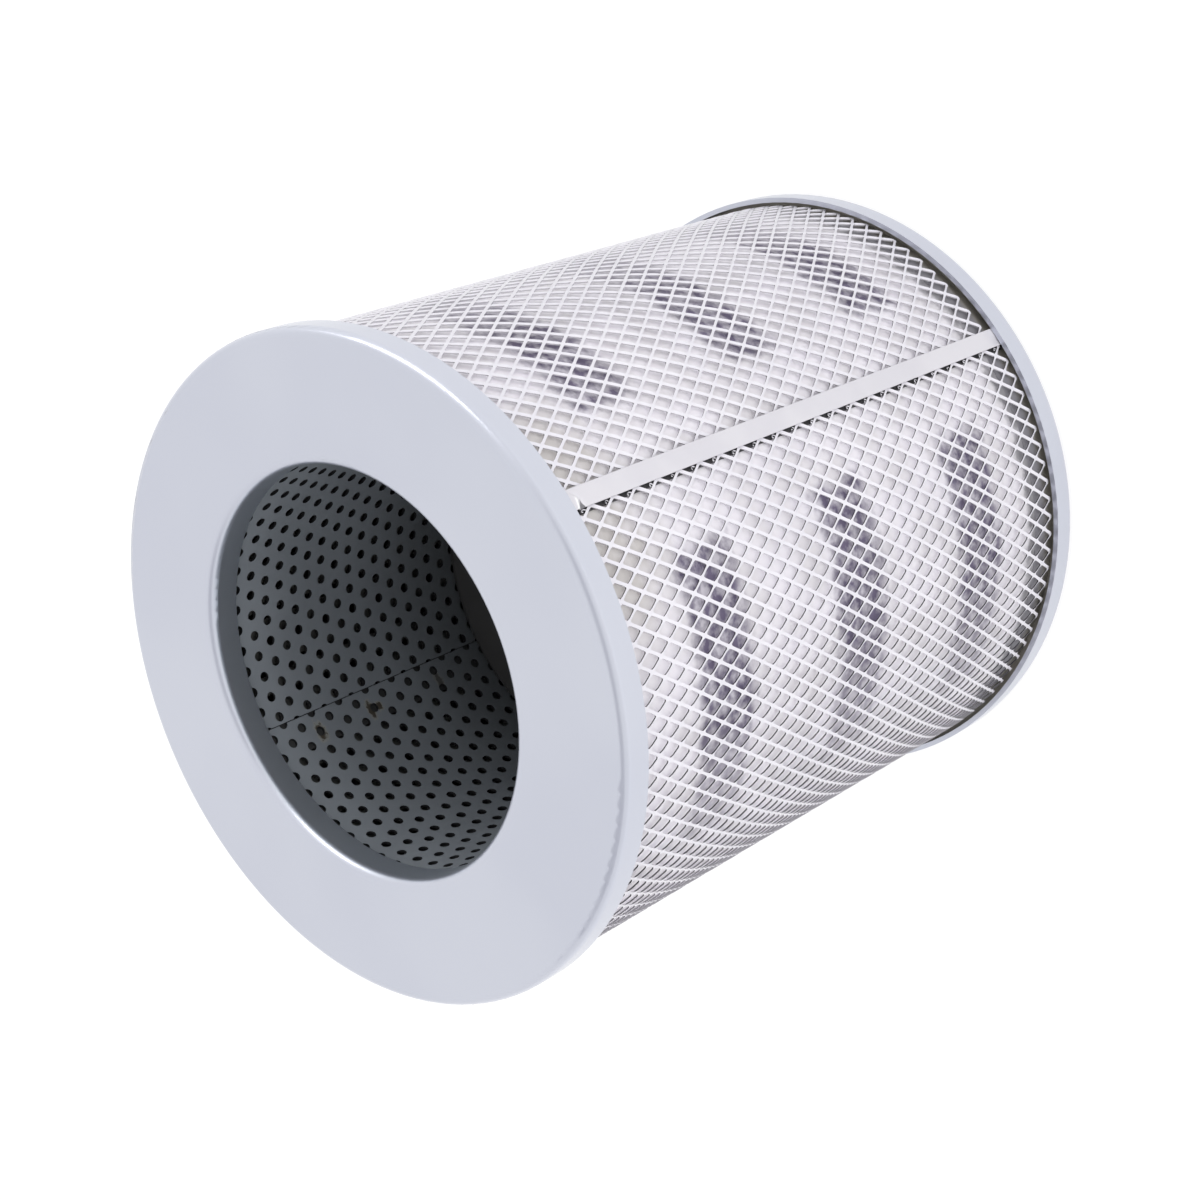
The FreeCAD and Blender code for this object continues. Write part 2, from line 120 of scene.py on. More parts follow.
@dataclass(frozen=True)
class Finish:
    """A real finish: two close tints in soft patches, a fine grain, and the gloss of its surface."""

    name: str
    tint: str
    second_tint: str
    patch_mm: float
    grain_mm: float
    grain_depth_mm: float
    roughness: float
    roughness_spread: float
    metallic: float = 0.0
    grain_stretch: Triple = (1.0, 1.0, 1.0)
    patch_edges: Pair = (0.35, 0.65)
    side_turn: Pair = (0.8, 0.5)
    spots_per_patch: float = 3.0

    def material(self) -> bpy.types.Material:
        """Build the finish's material, or return the one already built."""
        if self.name in bpy.data.materials:
            return bpy.data.materials[self.name]
        made, tree = bare_material(self.name)
        place = add_node(tree, "ShaderNodeTexCoord").outputs["Object"]
        colour = self.colour(tree, place)
        spots, spread = self.grain(tree, place, self.patch_mm / self.spots_per_patch), self.roughness_spread
        gloss = add_node(tree, RANGE, {0: spots, 3: self.roughness - spread, 4: self.roughness + spread})
        bumps = {"Height": self.height(tree, place), "Distance": self.grain_depth_mm * MM}
        bump = add_node(tree, "ShaderNodeBump", bumps)
        surface = {"Base Color": colour, "Metallic": self.metallic, "Roughness": gloss, "Normal": bump}
        shader = add_node(tree, "ShaderNodeBsdfPrincipled", surface)
        self.add_sheen(shader)
        add_node(tree, "ShaderNodeOutputMaterial", {"Surface": shader})
        return made

    def grain(self, tree: Tree, place: Feed, size_mm: float, detail: float = 2.0) -> Node:
        """Add noise whose lumps have a real size."""
        lumps = {"Vector": place, "Scale": 1 / (size_mm * MM), "Detail": detail}
        return add_node(tree, "ShaderNodeTexNoise", lumps)

    def colour(self, tree: Tree, place: Feed) -> Node:
        """Mix the two tints in soft patches."""
        begin, end = self.patch_edges
        patches = {0: self.grain(tree, place, self.patch_mm), 1: begin, 2: end}
        share = add_node(tree, RANGE, patches, interpolation_type=SMOOTH)
        return self.laid(tree, linear(self.tint), self.second_tint, share)

    def height(self, tree: Tree, place: Feed) -> Node:
        """Give the grain that the bump follows."""
        stretched = add_node(tree, "ShaderNodeMapping", {"Vector": place, "Scale": self.grain_stretch})
        return self.grain(tree, stretched, self.grain_mm)

    def add_sheen(self, shader: Node) -> None:
        """Leave the shader as it is. A finish with a soft nap or a clear coat sets it here."""

    def laid(self, tree: Tree, under: Feed, tint: str, *shares: Feed) -> Node:
        """Lay a tint over a colour, as thickly as the product of the shares says."""
        share = shares[0]
        for other in shares[1:]:
            share = add_node(tree, MATH, {0: share, 1: other}, operation="MULTIPLY")
        return add_node(tree, MIX, {0: share, 6: under, 7: linear(tint)}, data_type="RGBA")

    def apart(self, tree: Tree, value: Feed, middle: float) -> Node:
        """Give how far a value lies from a middle one, either way."""
        away = add_node(tree, MATH, {0: value, 1: middle}, operation="SUBTRACT")
        return add_node(tree, MATH, {0: away}, operation="ABSOLUTE")

    def reach(self, tree: Tree, place: Feed) -> tuple[Node, Node]:
        """Give the direction straight out from the element's axis, and the distance from it."""
        flat = add_node(tree, VECTOR, {0: place, 1: (1.0, 1.0, 0.0)}, operation="MULTIPLY")
        outward = add_node(tree, VECTOR, {0: flat}, operation="NORMALIZE")
        return outward, add_node(tree, VECTOR, {0: flat}, operation="LENGTH")

    def side_share(self, tree: Tree, place: Feed) -> Node:
        """Give 1 on a rolled sheet's cut sides, which face along the sheet, and 0 on its two faces."""
        face = add_node(tree, "ShaderNodeNewGeometry").outputs["True Normal"]
        facing = add_node(tree, VECTOR, {0: self.reach(tree, place)[0], 1: face}, operation="DOT_PRODUCT")
        out = add_node(tree, MATH, {0: facing}, operation="ABSOLUTE")
        return add_node(tree, RANGE, {0: out, 1: self.side_turn[0], 2: self.side_turn[1]})


@dataclass(frozen=True)
class SatinPaint(Finish):
    """Satin stoving paint on drawn steel: a soft highlight on each bend and a faint orange peel."""

    coat: float = 0.25
    coat_roughness: float = 0.2

    def add_sheen(self, shader: Node) -> None:
        """Add the thin gloss of the paint's resin."""
        shader.inputs["Coat Weight"].default_value = self.coat
        shader.inputs["Coat Roughness"].default_value = self.coat_roughness


@dataclass(frozen=True)
class StripCoating(SatinPaint):
    """Pale coating on the seam strip, with painted shade on the front corner that the press tool pressed in,
    and a painted highlight on the raised edge beside it.
    """

    # Painted shade: a grey wedge in the pressed-in corner. Painted highlight: a white line along the standing
    # edge beside it.
    pressed_shade_tint: str = "#77767B"
    pressed_shade_middle_mm: float = 157.3
    pressed_shade_tip_mm: float = 0.3
    pressed_shade_spread: float = 0.27
    pressed_shade_edge_mm: Pair = (-0.05, 0.12)
    ridge_highlight_tint: str = "#FFFFFF"
    ridge_middle_mm: float = 158.14
    ridge_slope: float = 0.28
    ridge_edge_mm: Pair = (0.42, 0.12)
    ridge_end_mm: Pair = (0.6, -0.4)

    def colour(self, tree: Tree, place: Feed) -> Node:
        """Paint shade as a grey wedge that widens from its tip to the strip's lower edge, and a white
        highlight on the ridge beside it.
        """
        across, _, along = add_node(tree, SPLIT, {0: place}).outputs
        away = self.apart(tree, along, self.pressed_shade_middle_mm * MM)
        tip = -self.pressed_shade_spread * self.pressed_shade_tip_mm * MM
        wedge = add_node(tree, MATH, {0: across, 1: -self.pressed_shade_spread, 2: tip}, operation="MULTIPLY_ADD")
        inside = add_node(tree, MATH, {0: wedge, 1: away}, operation="SUBTRACT")
        begin, end = self.pressed_shade_edge_mm
        shade_share = add_node(tree, RANGE, {0: inside, 1: begin * MM, 2: end * MM}, interpolation_type=SMOOTH)
        line = add_node(tree, MATH, {0: across, 1: self.ridge_slope, 2: along}, operation="MULTIPLY_ADD")
        away = self.apart(tree, line, self.ridge_middle_mm * MM)
        begin, end = self.ridge_edge_mm
        ridge_highlight = add_node(tree, RANGE, {0: away, 1: begin * MM, 2: end * MM}, interpolation_type=SMOOTH)
        begin, end = self.ridge_end_mm
        lower = add_node(tree, RANGE, {0: across, 1: begin * MM, 2: end * MM})
        # Painted shade on the pressed wedge, then a painted highlight on the ridge.
        pressed_shaded = self.laid(tree, super().colour(tree, place), self.pressed_shade_tint, shade_share)
        return self.laid(tree, pressed_shaded, self.ridge_highlight_tint, ridge_highlight, lower)


@dataclass(frozen=True)
class CapPaint(SatinPaint):
    """The caps' paint with its flake, with painted light down the open cap's collar: a lighter, bluer tint
    there.
    """

    # Painted light: a lighter, bluer tint over the collar stands in for the light that falls into it.
    collar_light_tint: str = "#DDE4EF"
    collar_radius_mm: float = 47.6
    lip_mm: Pair = (167.6, 165.2)

    def colour(self, tree: Tree, place: Feed) -> Node:
        """Paint light down the collar as a lighter, bluer tint."""
        radius, height = self.reach(tree, place)[1], add_node(tree, SPLIT, {0: place}).outputs[2]
        within = add_node(tree, MATH, {0: radius, 1: self.collar_radius_mm * MM}, operation="LESS_THAN")
        top, bottom = self.lip_mm
        deep = add_node(tree, RANGE, {0: height, 1: top * MM, 2: bottom * MM}, interpolation_type=SMOOTH)
        return self.laid(tree, super().colour(tree, place), self.collar_light_tint, within, deep)


@dataclass(frozen=True)
class ExpandedCoating(SatinPaint):
    """White coating on expanded metal: full on the faces and thin on the sides, with painted shade on one
    sheared side of the strands on the half of the jacket towards the seam strip.
    """

    side_tint: str = "#C6C4CA"
    # Painted shade: a dark tint on one sheared side of each strand stands in for the shadow in the gap under
    # its raised edge, only on the half of the jacket where that shadow fell.
    gap_shade_tint: str = "#2E2C31"
    gap_shade_turn: float = 0.7
    shade_towards: Triple = (-0.26, -0.97, 0.0)
    shade_turn: Pair = (0.1, 0.6)

    def colour(self, tree: Tree, place: Feed) -> Node:
        """Grey the strands' sides, and paint shade on their sheared sides on the half of the jacket towards
        the seam strip.
        """
        along, outward = (0.0, 0.0, 1.0), self.reach(tree, place)[0]
        around = add_node(tree, VECTOR, {0: along, 1: outward}, operation="CROSS_PRODUCT")
        slant = add_node(tree, VECTOR, {0: around, 1: along}, operation="ADD")
        face = add_node(tree, "ShaderNodeNewGeometry").outputs["True Normal"]
        turn = add_node(tree, VECTOR, {0: slant, 1: face}, operation="DOT_PRODUCT")
        shaded_side = add_node(tree, MATH, {0: turn, 1: self.gap_shade_turn}, operation="GREATER_THAN")
        towards = add_node(tree, VECTOR, {0: outward, 1: self.shade_towards}, operation="DOT_PRODUCT")
        begin, end = self.shade_turn
        shade_share = add_node(tree, RANGE, {0: towards, 1: begin, 2: end})
        # Painted shade on the sheared sides, faded out over the other half of the jacket.
        side = self.laid(tree, linear(self.side_tint), self.gap_shade_tint, shaded_side, shade_share)
        plain = super().colour(tree, place)
        share = self.side_share(tree, place)
        return add_node(tree, MIX, {0: share, 6: plain, 7: side}, data_type="RGBA")


class Ink(Enum):
    """The two rows of plain ink bars: the angles, in degrees, where each is full, fades and ends."""

    RIGHT = (-76.0, -58.0, -22.0)
    LEFT = (-103.5, -132.0, -156.0)


@dataclass(frozen=True)
class Fleece(Finish):
    """Spun-bonded nonwoven: short random fibres, no gloss, with soft plain bars of ink soaked into it."""

    ink: str = "#6B627C"
    ink_detail: float = 4.0
    faded_ink: float = 0.3
    thin_ink: float = 0.35
    cloud_size_mm: float = 3.0
    cloud_edges: Pair = (0.36, 0.6)
    bar_heights_mm: Triple = (36.5, 83.5, 131.5)
    bar_width_mm: float = 17.0
    bar_blur_mm: float = 2.2
    bleed_size_mm: float = 5.0
    bleed_mm: float = 7.0
    fibre_length_mm: float = 2.4
    fibre_turns: Pair = (0.6, -0.9)
    sheen: Pair = (0.15, 0.6)
    # A darker grey towards the rear edge, and a warmer, darker grey near the front beside the seam strip.
    rear_edge_tint: str = "#949297"
    rear_edge_mm: Pair = (17.5, 12.0)
    rear_edge_stray_mm: float = 12.0
    strip_corner_tint: str = "#D0CCCA"
    strip_corner_mm: Pair = (136.0, 156.0)
    strip_corner_stray_mm: float = 30.0
    strip_corner_angle: float = -92.0
    strip_corner_reach_mm: Pair = (34.0, 14.0)

    def height(self, tree: Tree, place: Feed) -> Node:
        """Cross two sets of stretched noise, as fibres lie."""
        layers = []
        for turn in self.fibre_turns:
            flat = add_node(tree, "ShaderNodeUVMap", uv_map=FleeceWrap.UV_NAME)
            stretch = (1.0, self.fibre_length_mm / self.grain_mm, 1.0)
            laid = {"Vector": flat, "Rotation": (0.0, 0.0, turn), "Scale": stretch}
            turned = add_node(tree, "ShaderNodeMapping", laid)
            layers.append(self.grain(tree, turned, self.fibre_length_mm))
        return add_node(tree, MATH, {0: layers[0], 1: layers[1]}, operation="MAXIMUM")

    def add_sheen(self, shader: Node) -> None:
        """Add the soft nap of loose fibre ends."""
        for name, value in zip(("Sheen Weight", "Sheen Roughness"), self.sheen):
            shader.inputs[name].default_value = value

    def bars(self, tree: Tree, around: Feed, along: Feed, stray: Feed) -> Feed:
        """Give how thickly the two rows of ink bars cover a place on the flat wrap.

        Args:
            tree: The material's tree.
            around: The place along the wrap's length.
            along: Its height.
            stray: Noise about zero that the ink bled by.

        Returns:
            The ink's share of the colour.
        """
        bleed = add_node(tree, MATH, {0: stray, 1: self.bleed_mm * MM}, operation="MULTIPLY")
        blur = self.bar_blur_mm * MM
        cover: Feed = 0.0
        for side in Ink:
            full, fade, last = (FleeceWrap.unrolled(angle) for angle in side.value)
            strength = add_node(tree, RANGE, {0: around, 1: fade, 2: last, 3: 1.0, 4: self.faded_ink})
            for height in self.bar_heights_mm:
                inside = strength
                for value, middle, half in (
                    (around, (full + last) / 2, abs(last - full) / 2),
                    (along, height * MM, self.bar_width_mm * MM / 2),
                ):
                    away = self.apart(tree, value, middle)
                    away = add_node(tree, MATH, {0: away, 1: bleed}, operation="ADD")
                    span = {0: away, 1: half + blur, 2: half - blur}
                    edge = add_node(tree, RANGE, span, interpolation_type=SMOOTH)
                    inside = add_node(tree, MATH, {0: edge, 1: inside}, operation="MULTIPLY")
                cover = add_node(tree, MATH, {0: inside, 1: cover}, operation="MAXIMUM")
        return cover

    def colour(self, tree: Tree, place: Feed) -> Node:
        """Lay the ink, a darker grey towards the rear edge and a warmer grey near the front beside the strip
        over the fleece's own tints.
        """
        flat = add_node(tree, "ShaderNodeUVMap", uv_map=FleeceWrap.UV_NAME)
        around, along, _ = add_node(tree, SPLIT, {0: flat}).outputs
        lumps = self.grain(tree, flat, self.bleed_size_mm, self.ink_detail)
        stray = add_node(tree, MATH, {0: lumps, 1: 0.5}, operation="SUBTRACT")
        cover = self.bars(tree, around, along, stray)
        clouds = self.grain(tree, flat, self.cloud_size_mm, self.ink_detail)
        begin, end = self.cloud_edges
        density = add_node(tree, RANGE, {0: clouds, 1: begin, 2: end, 3: self.thin_ink, 4: 1.0})
        inked = self.laid(tree, super().colour(tree, place), self.ink, cover, density)
        ends = []
        for stray_mm, (begin, end), step in (
            (self.rear_edge_stray_mm, self.rear_edge_mm, "SMOOTHERSTEP"),
            (self.strip_corner_stray_mm, self.strip_corner_mm, SMOOTH),
        ):
            edge = add_node(tree, MATH, {0: stray, 1: stray_mm * MM, 2: along}, operation="MULTIPLY_ADD")
            ends.append(add_node(tree, RANGE, {0: edge, 1: begin * MM, 2: end * MM}, interpolation_type=step))
        away = self.apart(tree, around, FleeceWrap.unrolled(self.strip_corner_angle))
        begin, end = self.strip_corner_reach_mm
        near = add_node(tree, RANGE, {0: away, 1: begin * MM, 2: end * MM}, interpolation_type=SMOOTH)
        darker_rear = self.laid(tree, inked, self.rear_edge_tint, ends[0])
        return self.laid(tree, darker_rear, self.strip_corner_tint, ends[1], near)


@dataclass(frozen=True)
class PottedAdhesive(Finish):
    """Cured adhesive: a glossy olive-grey skin that thins to a greyer film where it climbs the fleece."""

    film_tint: str = "#8C8A90"
    film_mm: Pair = (5.2, 9.0)

    def colour(self, tree: Tree, place: Feed) -> Node:
        """Grey the adhesive's thin upper edge."""
        height = add_node(tree, SPLIT, {0: place}).outputs[2]
        begin, end = self.film_mm
        film = add_node(tree, RANGE, {0: height, 1: begin * MM, 2: end * MM}, interpolation_type=SMOOTH)
        return self.laid(tree, super().colour(tree, place), self.film_tint, film)


@dataclass(frozen=True)
class CoreZinc(Finish):
    """Dull zinc-coated steel, with the brown and pale burns that spot welding left along the lap, and painted
    shade down the bore, on the leaf behind the lap and on the holes' walls.
    """

    # Painted shade: the holes' walls, the leaf seen through the lap's holes and the wall deeper down the bore
    # are darkened where shade falls.
    wall_shade_tint: str = "#2C2D2F"
    behind_shade_tint: str = "#4E4F4F"
    behind_from_mm: float = 48.12
    deep_shade_tint: str = "#6A6E72"
    deep_mm: Pair = (126.0, 88.0)
    burn_tint: str = "#4A4031"
    halo_tint: str = "#B3B0A2"
    burn_angle: float = 88.6
    # Each burn's height, half height and half width, in millimetres.
    burns_mm: tuple[Triple, ...] = (
        (107.6, 0.9, 1.7),
        (127.8, 0.9, 1.0),
        (130.4, 1.0, 2.0),
        (146.5, 1.2, 2.1),
    )
    # The halo and the burn inside it: how far each reaches, in half widths, and how much it covers. Both
    # are drawn three half widths deep, so that they go through the sheet.
    burn_reach: Pair = (1.4, 1.0)
    burn_cover: Pair = (0.5, 0.9)
    burn_depth: float = 3.0
    burn_blur: float = 0.25
    burn_ragged: float = 1.6
    burn_lump_mm: float = 0.9

    def burned(self, tree: Tree, place: Feed, shade: Feed) -> Feed:
        """Lay the burns over the zinc: a pale ring with a brown spot inside."""
        lumps = self.grain(tree, place, self.burn_lump_mm, 3.0)
        stray = add_node(tree, MATH, {0: lumps, 1: 0.5}, operation="SUBTRACT")
        turn, reach = math.radians(self.burn_angle), PerforatedCore.INNER_RADIUS
        for height, high, wide in self.burns_mm:
            centre = (reach * math.cos(turn), reach * math.sin(turn), height * MM)
            away = add_node(tree, VECTOR, {0: place, 1: centre}, operation="SUBTRACT")
            scale = (1 / (wide * MM), 1 / (self.burn_depth * wide * MM), 1 / (high * MM))
            spread = add_node(tree, VECTOR, {0: away, 1: scale}, operation="MULTIPLY")
            far = add_node(tree, VECTOR, {0: spread}, operation="LENGTH")
            ragged = add_node(tree, MATH, {0: stray, 1: self.burn_ragged, 2: far}, operation="MULTIPLY_ADD")
            for outer, tint, most in zip(self.burn_reach, (self.halo_tint, self.burn_tint), self.burn_cover):
                edge = {0: ragged, 1: outer + self.burn_blur, 2: outer - self.burn_blur, 4: most}
                inside = add_node(tree, RANGE, edge, interpolation_type=SMOOTH)
                shade = self.laid(tree, shade, tint, inside)
        return shade

    def colour(self, tree: Tree, place: Feed) -> Node:
        """Paint shade on the burned zinc: darker down the bore, on the leaf behind the lap and on the holes'
        walls.
        """
        shade = self.burned(tree, place, super().colour(tree, place))
        height = add_node(tree, SPLIT, {0: place}).outputs[2]
        begin, end = self.deep_mm
        deep = add_node(tree, RANGE, {0: height, 1: begin * MM, 2: end * MM}, interpolation_type=SMOOTH)
        radius = self.reach(tree, place)[1]
        behind = add_node(tree, MATH, {0: radius, 1: self.behind_from_mm * MM}, operation="GREATER_THAN")
        # Painted shade down the bore and behind the lap here, and on the holes' walls below.
        shade = self.laid(tree, shade, self.deep_shade_tint, deep)
        shade = self.laid(tree, shade, self.behind_shade_tint, behind)
        return self.laid(tree, shade, self.wall_shade_tint, self.side_share(tree, place))


# Satin stoving paint with a fine metal flake, sprayed on drawn steel: it mirrors the studio softly, and draws
# a bright line along some bends from the edge lamp and a grey line where it mirrors the glowing grey card, a
# painted reflection. Its orange peel is too low to show at this distance.
PAINT = CapPaint(
    name="satin_cap_paint",
    tint="#CDD0DB",
    second_tint="#C9CCD8",
    patch_mm=60.0,
    grain_mm=1.2,
    grain_depth_mm=0.0015,
    roughness=0.34,
    roughness_spread=0.03,
    metallic=0.92,
    coat=0.4,
    coat_roughness=0.14,
)
# White coating dipped or sprayed over slit and stretched steel: bright even strands with a faint gloss, each
# with a thin dark line of painted shade on one sheared side, standing in for the shadow under its raised
# edge.
JACKET_COATING = ExpandedCoating(
    name="white_jacket_coating",
    tint="#EBE9F0",
    second_tint="#E6E4EC",
    patch_mm=25.0,
    grain_mm=0.5,
    grain_depth_mm=0.02,
    roughness=0.42,
    roughness_spread=0.06,
)
# The same kind of coating on rolled strip: a plain satin band, a shade darker than the strands, with fine
# lines along it from the rolls.
STRIP_COATING = StripCoating(
    name="pale_strip_coating",
    tint="#DBD9DF",
    second_tint="#D6D4DB",
    patch_mm=14.0,
    grain_mm=0.6,
    grain_depth_mm=0.01,
    roughness=0.38,
    roughness_spread=0.05,
    grain_stretch=(1.0, 1.0, 0.08),
)
# Spun-bonded polyester nonwoven: matt and soft white, cloudy where its fibres lie thicker. The fibres are
# drawn coarser than real ones, so that they show.
FLEECE = Fleece(
    name="wrap_nonwoven",
    tint="#F4F1F7",
    second_tint="#E7E4E8",
    patch_mm=9.0,
    grain_mm=0.35,
    grain_depth_mm=0.05,
    roughness=0.92,
    roughness_spread=0.04,
)
# Zinc-coated sheet, punched and rolled: a dull blue-grey with almost no highlight and black holes, with
# painted shade on the holes' walls, on the leaf behind the lap and deeper down the bore.
CORE_ZINC = CoreZinc(
    name="zinc_coated_core",
    tint="#9DA3AA",
    second_tint="#969CA3",
    patch_mm=30.0,
    grain_mm=0.8,
    grain_depth_mm=0.006,
    roughness=0.5,
    roughness_spread=0.05,
    metallic=0.45,
)
# Bare steel sheet, pressed to a disc: an even dark grey at the end of the bore.
PLATE_STEEL = Finish(
    name="pressed_plate_steel",
    tint="#4E4D4D",
    second_tint="#474646",
    patch_mm=18.0,
    grain_mm=0.7,
    grain_depth_mm=0.01,
    roughness=0.55,
    roughness_spread=0.06,
    metallic=0.6,
)
# Two-part polyurethane adhesive, poured and cured: an olive-grey, lumpy and slightly glossy skin.
ADHESIVE = PottedAdhesive(
    name="cured_adhesive",
    tint="#959087",
    second_tint="#7F7B72",
    patch_mm=7.0,
    grain_mm=2.2,
    grain_depth_mm=0.15,
    roughness=0.42,
    roughness_spread=0.12,
)
# Epoxy-coated steel wire, woven fine: a dull metal grey with a close sparkle.
WIRE = Finish(
    name="coated_wire_weave",
    tint="#8E8F8C",
    second_tint="#7C7D7B",
    patch_mm=5.0,
    grain_mm=0.3,
    grain_depth_mm=0.06,
    roughness=0.45,
    roughness_spread=0.08,
    metallic=0.8,
)
# Thin polyester nonwoven, bonded with heat: matt white, a little warm.
PACK_FLEECE = Finish(
    name="support_nonwoven",
    tint="#E6E6E0",
    second_tint="#DEDED8",
    patch_mm=8.0,
    grain_mm=0.4,
    grain_depth_mm=0.05,
    roughness=0.93,
    roughness_spread=0.04,
)
# Glass-fibre felt with resin: matt cream, like blotting paper.
GLASS_FIBRE = Finish(
    name="glass_fibre_felt",
    tint="#EFECDF",
    second_tint="#E8E4D4",
    patch_mm=6.0,
    grain_mm=0.25,
    grain_depth_mm=0.04,
    roughness=0.95,
    roughness_spread=0.03,
)
# Dark steel for the seam's inner leaf: its broken dark edge beside the pale strip is a painted shadow of the
# strip.
SEAM_SHADOW_STEEL = Finish(
    name="seam_shadow_steel",
    tint="#3B3A3D",
    second_tint="#4B4A4D",
    patch_mm=2.0,
    grain_mm=0.5,
    grain_depth_mm=0.02,
    roughness=0.5,
    roughness_spread=0.08,
    metallic=0.3,
)
# Bright steel strip, folded: clean metal with fine lines from the rolls.
CLIP_STEEL = Finish(
    name="folded_clip_steel",
    tint="#8C8F93",
    second_tint="#828589",
    patch_mm=10.0,
    grain_mm=0.4,
    grain_depth_mm=0.01,
    roughness=0.35,
    roughness_spread=0.06,
    metallic=0.9,
    grain_stretch=(1.0, 1.0, 0.06),
)


def new_tree(name: str, sockets: dict[str, str]) -> Tree:
    """Start a Geometry Nodes tree with named inputs.

    Args:
        name: The tree's name.
        sockets: Each input's name and kind, the geometry first.

    Returns:
        The tree, with its inputs and its geometry output.
    """
    tree = bpy.data.node_groups.new(name, "GeometryNodeTree")
    for label, kind in sockets.items():
        tree.interface.new_socket(name=label, in_out="INPUT", socket_type=f"NodeSocket{kind}")
    tree.interface.new_socket(name="Geometry", in_out="OUTPUT", socket_type="NodeSocketGeometry")
    return tree


def end_tree(tree: Tree, shape: Feed, finish: Feed, merge: bool = False) -> Tree:
    """End a tree with real meshes instead of instances, merged where they touch if asked, and dressed."""
    solid = add_node(tree, "GeometryNodeRealizeInstances", {0: shape})
    if merge:
        solid = add_node(tree, "GeometryNodeMergeByDistance", {"Geometry": solid, "Distance": MERGE})
    dressed = add_node(tree, "GeometryNodeSetMaterial", {"Geometry": solid, "Material": finish})
    add_node(tree, "NodeGroupOutput", {0: dressed})
    return tree


def tile_tree() -> Tree:
    """Build the tree that lays one flat tile out in columns and rows and joins the tiles' edges."""
    sockets = {"Tile": "Geometry", "Columns": "Int", "Rows": "Int"}
    for label in ("Pitch around", "Pitch along", "Start around", "Start along", "Row shift"):
        sockets[label] = "Float"
    tree = new_tree("tiles_in_rows", {**sockets, "Finish": "Material"})
    given = add_node(tree, "NodeGroupInput").outputs
    index, columns = add_node(tree, "GeometryNodeInputIndex"), given["Columns"]
    column = add_node(tree, MATH, {0: index, 1: columns}, operation="FLOORED_MODULO")
    share = add_node(tree, MATH, {0: index, 1: columns}, operation="DIVIDE")
    row = add_node(tree, MATH, {0: share}, operation="FLOOR")
    odd = add_node(tree, MATH, {0: row, 1: 2.0}, operation="FLOORED_MODULO")
    shifted = add_node(tree, MATH, {0: odd, 1: given["Row shift"], 2: column}, operation="MULTIPLY_ADD")
    ends = []
    for steps, label in ((shifted, "around"), (row, "along")):
        values = {0: steps, 1: given[f"Pitch {label}"], 2: given[f"Start {label}"]}
        ends.append(add_node(tree, MATH, values, operation="MULTIPLY_ADD"))
    place = add_node(tree, "ShaderNodeCombineXYZ", {0: ends[0], 1: ends[1]})
    count = add_node(tree, MATH, {0: columns, 1: given["Rows"]}, operation="MULTIPLY")
    points = add_node(tree, "GeometryNodePoints", {"Count": count, "Position": place})
    tiles = add_node(tree, "GeometryNodeInstanceOnPoints", {"Points": points, "Instance": given["Tile"]})
    return end_tree(tree, tiles, given["Finish"], merge=True)


def roll_tree() -> Tree:
    """Build the tree that rolls a flat sheet round the element's axis.

    The sheet gets a slight fixed waver, and two pulls that die away from its first edge.
    """
    sockets = {"Sheet": "Geometry", "Near pull": "Vector", "Far pull": "Vector"}
    for label in ("Radius", "Start angle", "Waver", "Waver size", "Near reach", "Far reach"):
        sockets[label] = "Float"
    tree = new_tree("rolled_round_axis", {**sockets, "Finish": "Material"})
    given = add_node(tree, "NodeGroupInput").outputs
    flat = add_node(tree, "GeometryNodeInputPosition")
    around = add_node(tree, SPLIT, {0: flat}).outputs[0]
    scale = add_node(tree, MATH, {0: 1.0, 1: given["Waver size"]}, operation="DIVIDE")
    noise = add_node(tree, "ShaderNodeTexNoise", {"Vector": flat, "Scale": scale, "Detail": 1.0}).outputs[1]
    centred = add_node(tree, VECTOR, {0: noise, 1: (0.5, 0.5, 0.5)}, operation="SUBTRACT")
    waver = add_node(tree, VECTOR, {0: centred, "Scale": given["Waver"]}, operation="SCALE")
    bent = add_node(tree, VECTOR, {0: flat, 1: waver}, operation="ADD")
    for label in ("Near", "Far"):
        reach = {0: around, 2: given[f"{label} reach"], 3: 1.0, 4: 0.0}
        left = add_node(tree, RANGE, reach, interpolation_type=SMOOTH)
        pull = add_node(tree, VECTOR, {0: given[f"{label} pull"], "Scale": left}, operation="SCALE")
        bent = add_node(tree, VECTOR, {0: bent, 1: pull}, operation="ADD")
    part = add_node(tree, SPLIT, {0: bent}).outputs
    turn = add_node(tree, MATH, {0: part[0], 1: given["Radius"]}, operation="DIVIDE")
    angle = add_node(tree, MATH, {0: turn, 1: given["Start angle"]}, operation="ADD")
    reach = add_node(tree, MATH, {0: part[2], 1: given["Radius"]}, operation="ADD")
    ends = []
    for operation in ("COSINE", "SINE"):
        share = add_node(tree, MATH, {0: angle}, operation=operation)
        ends.append(add_node(tree, MATH, {0: share, 1: reach}, operation="MULTIPLY"))
    place = add_node(tree, "ShaderNodeCombineXYZ", {0: ends[0], 1: ends[1], 2: part[1]})
    rolled = add_node(tree, "GeometryNodeSetPosition", {"Geometry": given["Sheet"], "Position": place})
    return end_tree(tree, rolled, given["Finish"])


def placed(name: str, data: bpy.types.ID) -> bpy.types.Object:
    """Make an object from its data and link it into the scene."""
    thing = bpy.data.objects.new(name, data)
    bpy.context.collection.objects.link(thing)
    return thing


def plain_mesh(mesh: Mesh, dress: Callable[[bpy.types.Object], None]) -> Mesh:
    """Put a mesh on a holder, let dress add modifiers, and return the evaluated result as a plain mesh."""
    holder = placed("holder", mesh)
    dress(holder)
    bpy.context.view_layer.update()
    graph = bpy.context.evaluated_depsgraph_get()
    result = bpy.data.meshes.new_from_object(holder.evaluated_get(graph))
    bpy.data.objects.remove(holder)
    bpy.data.meshes.remove(mesh)
    return result


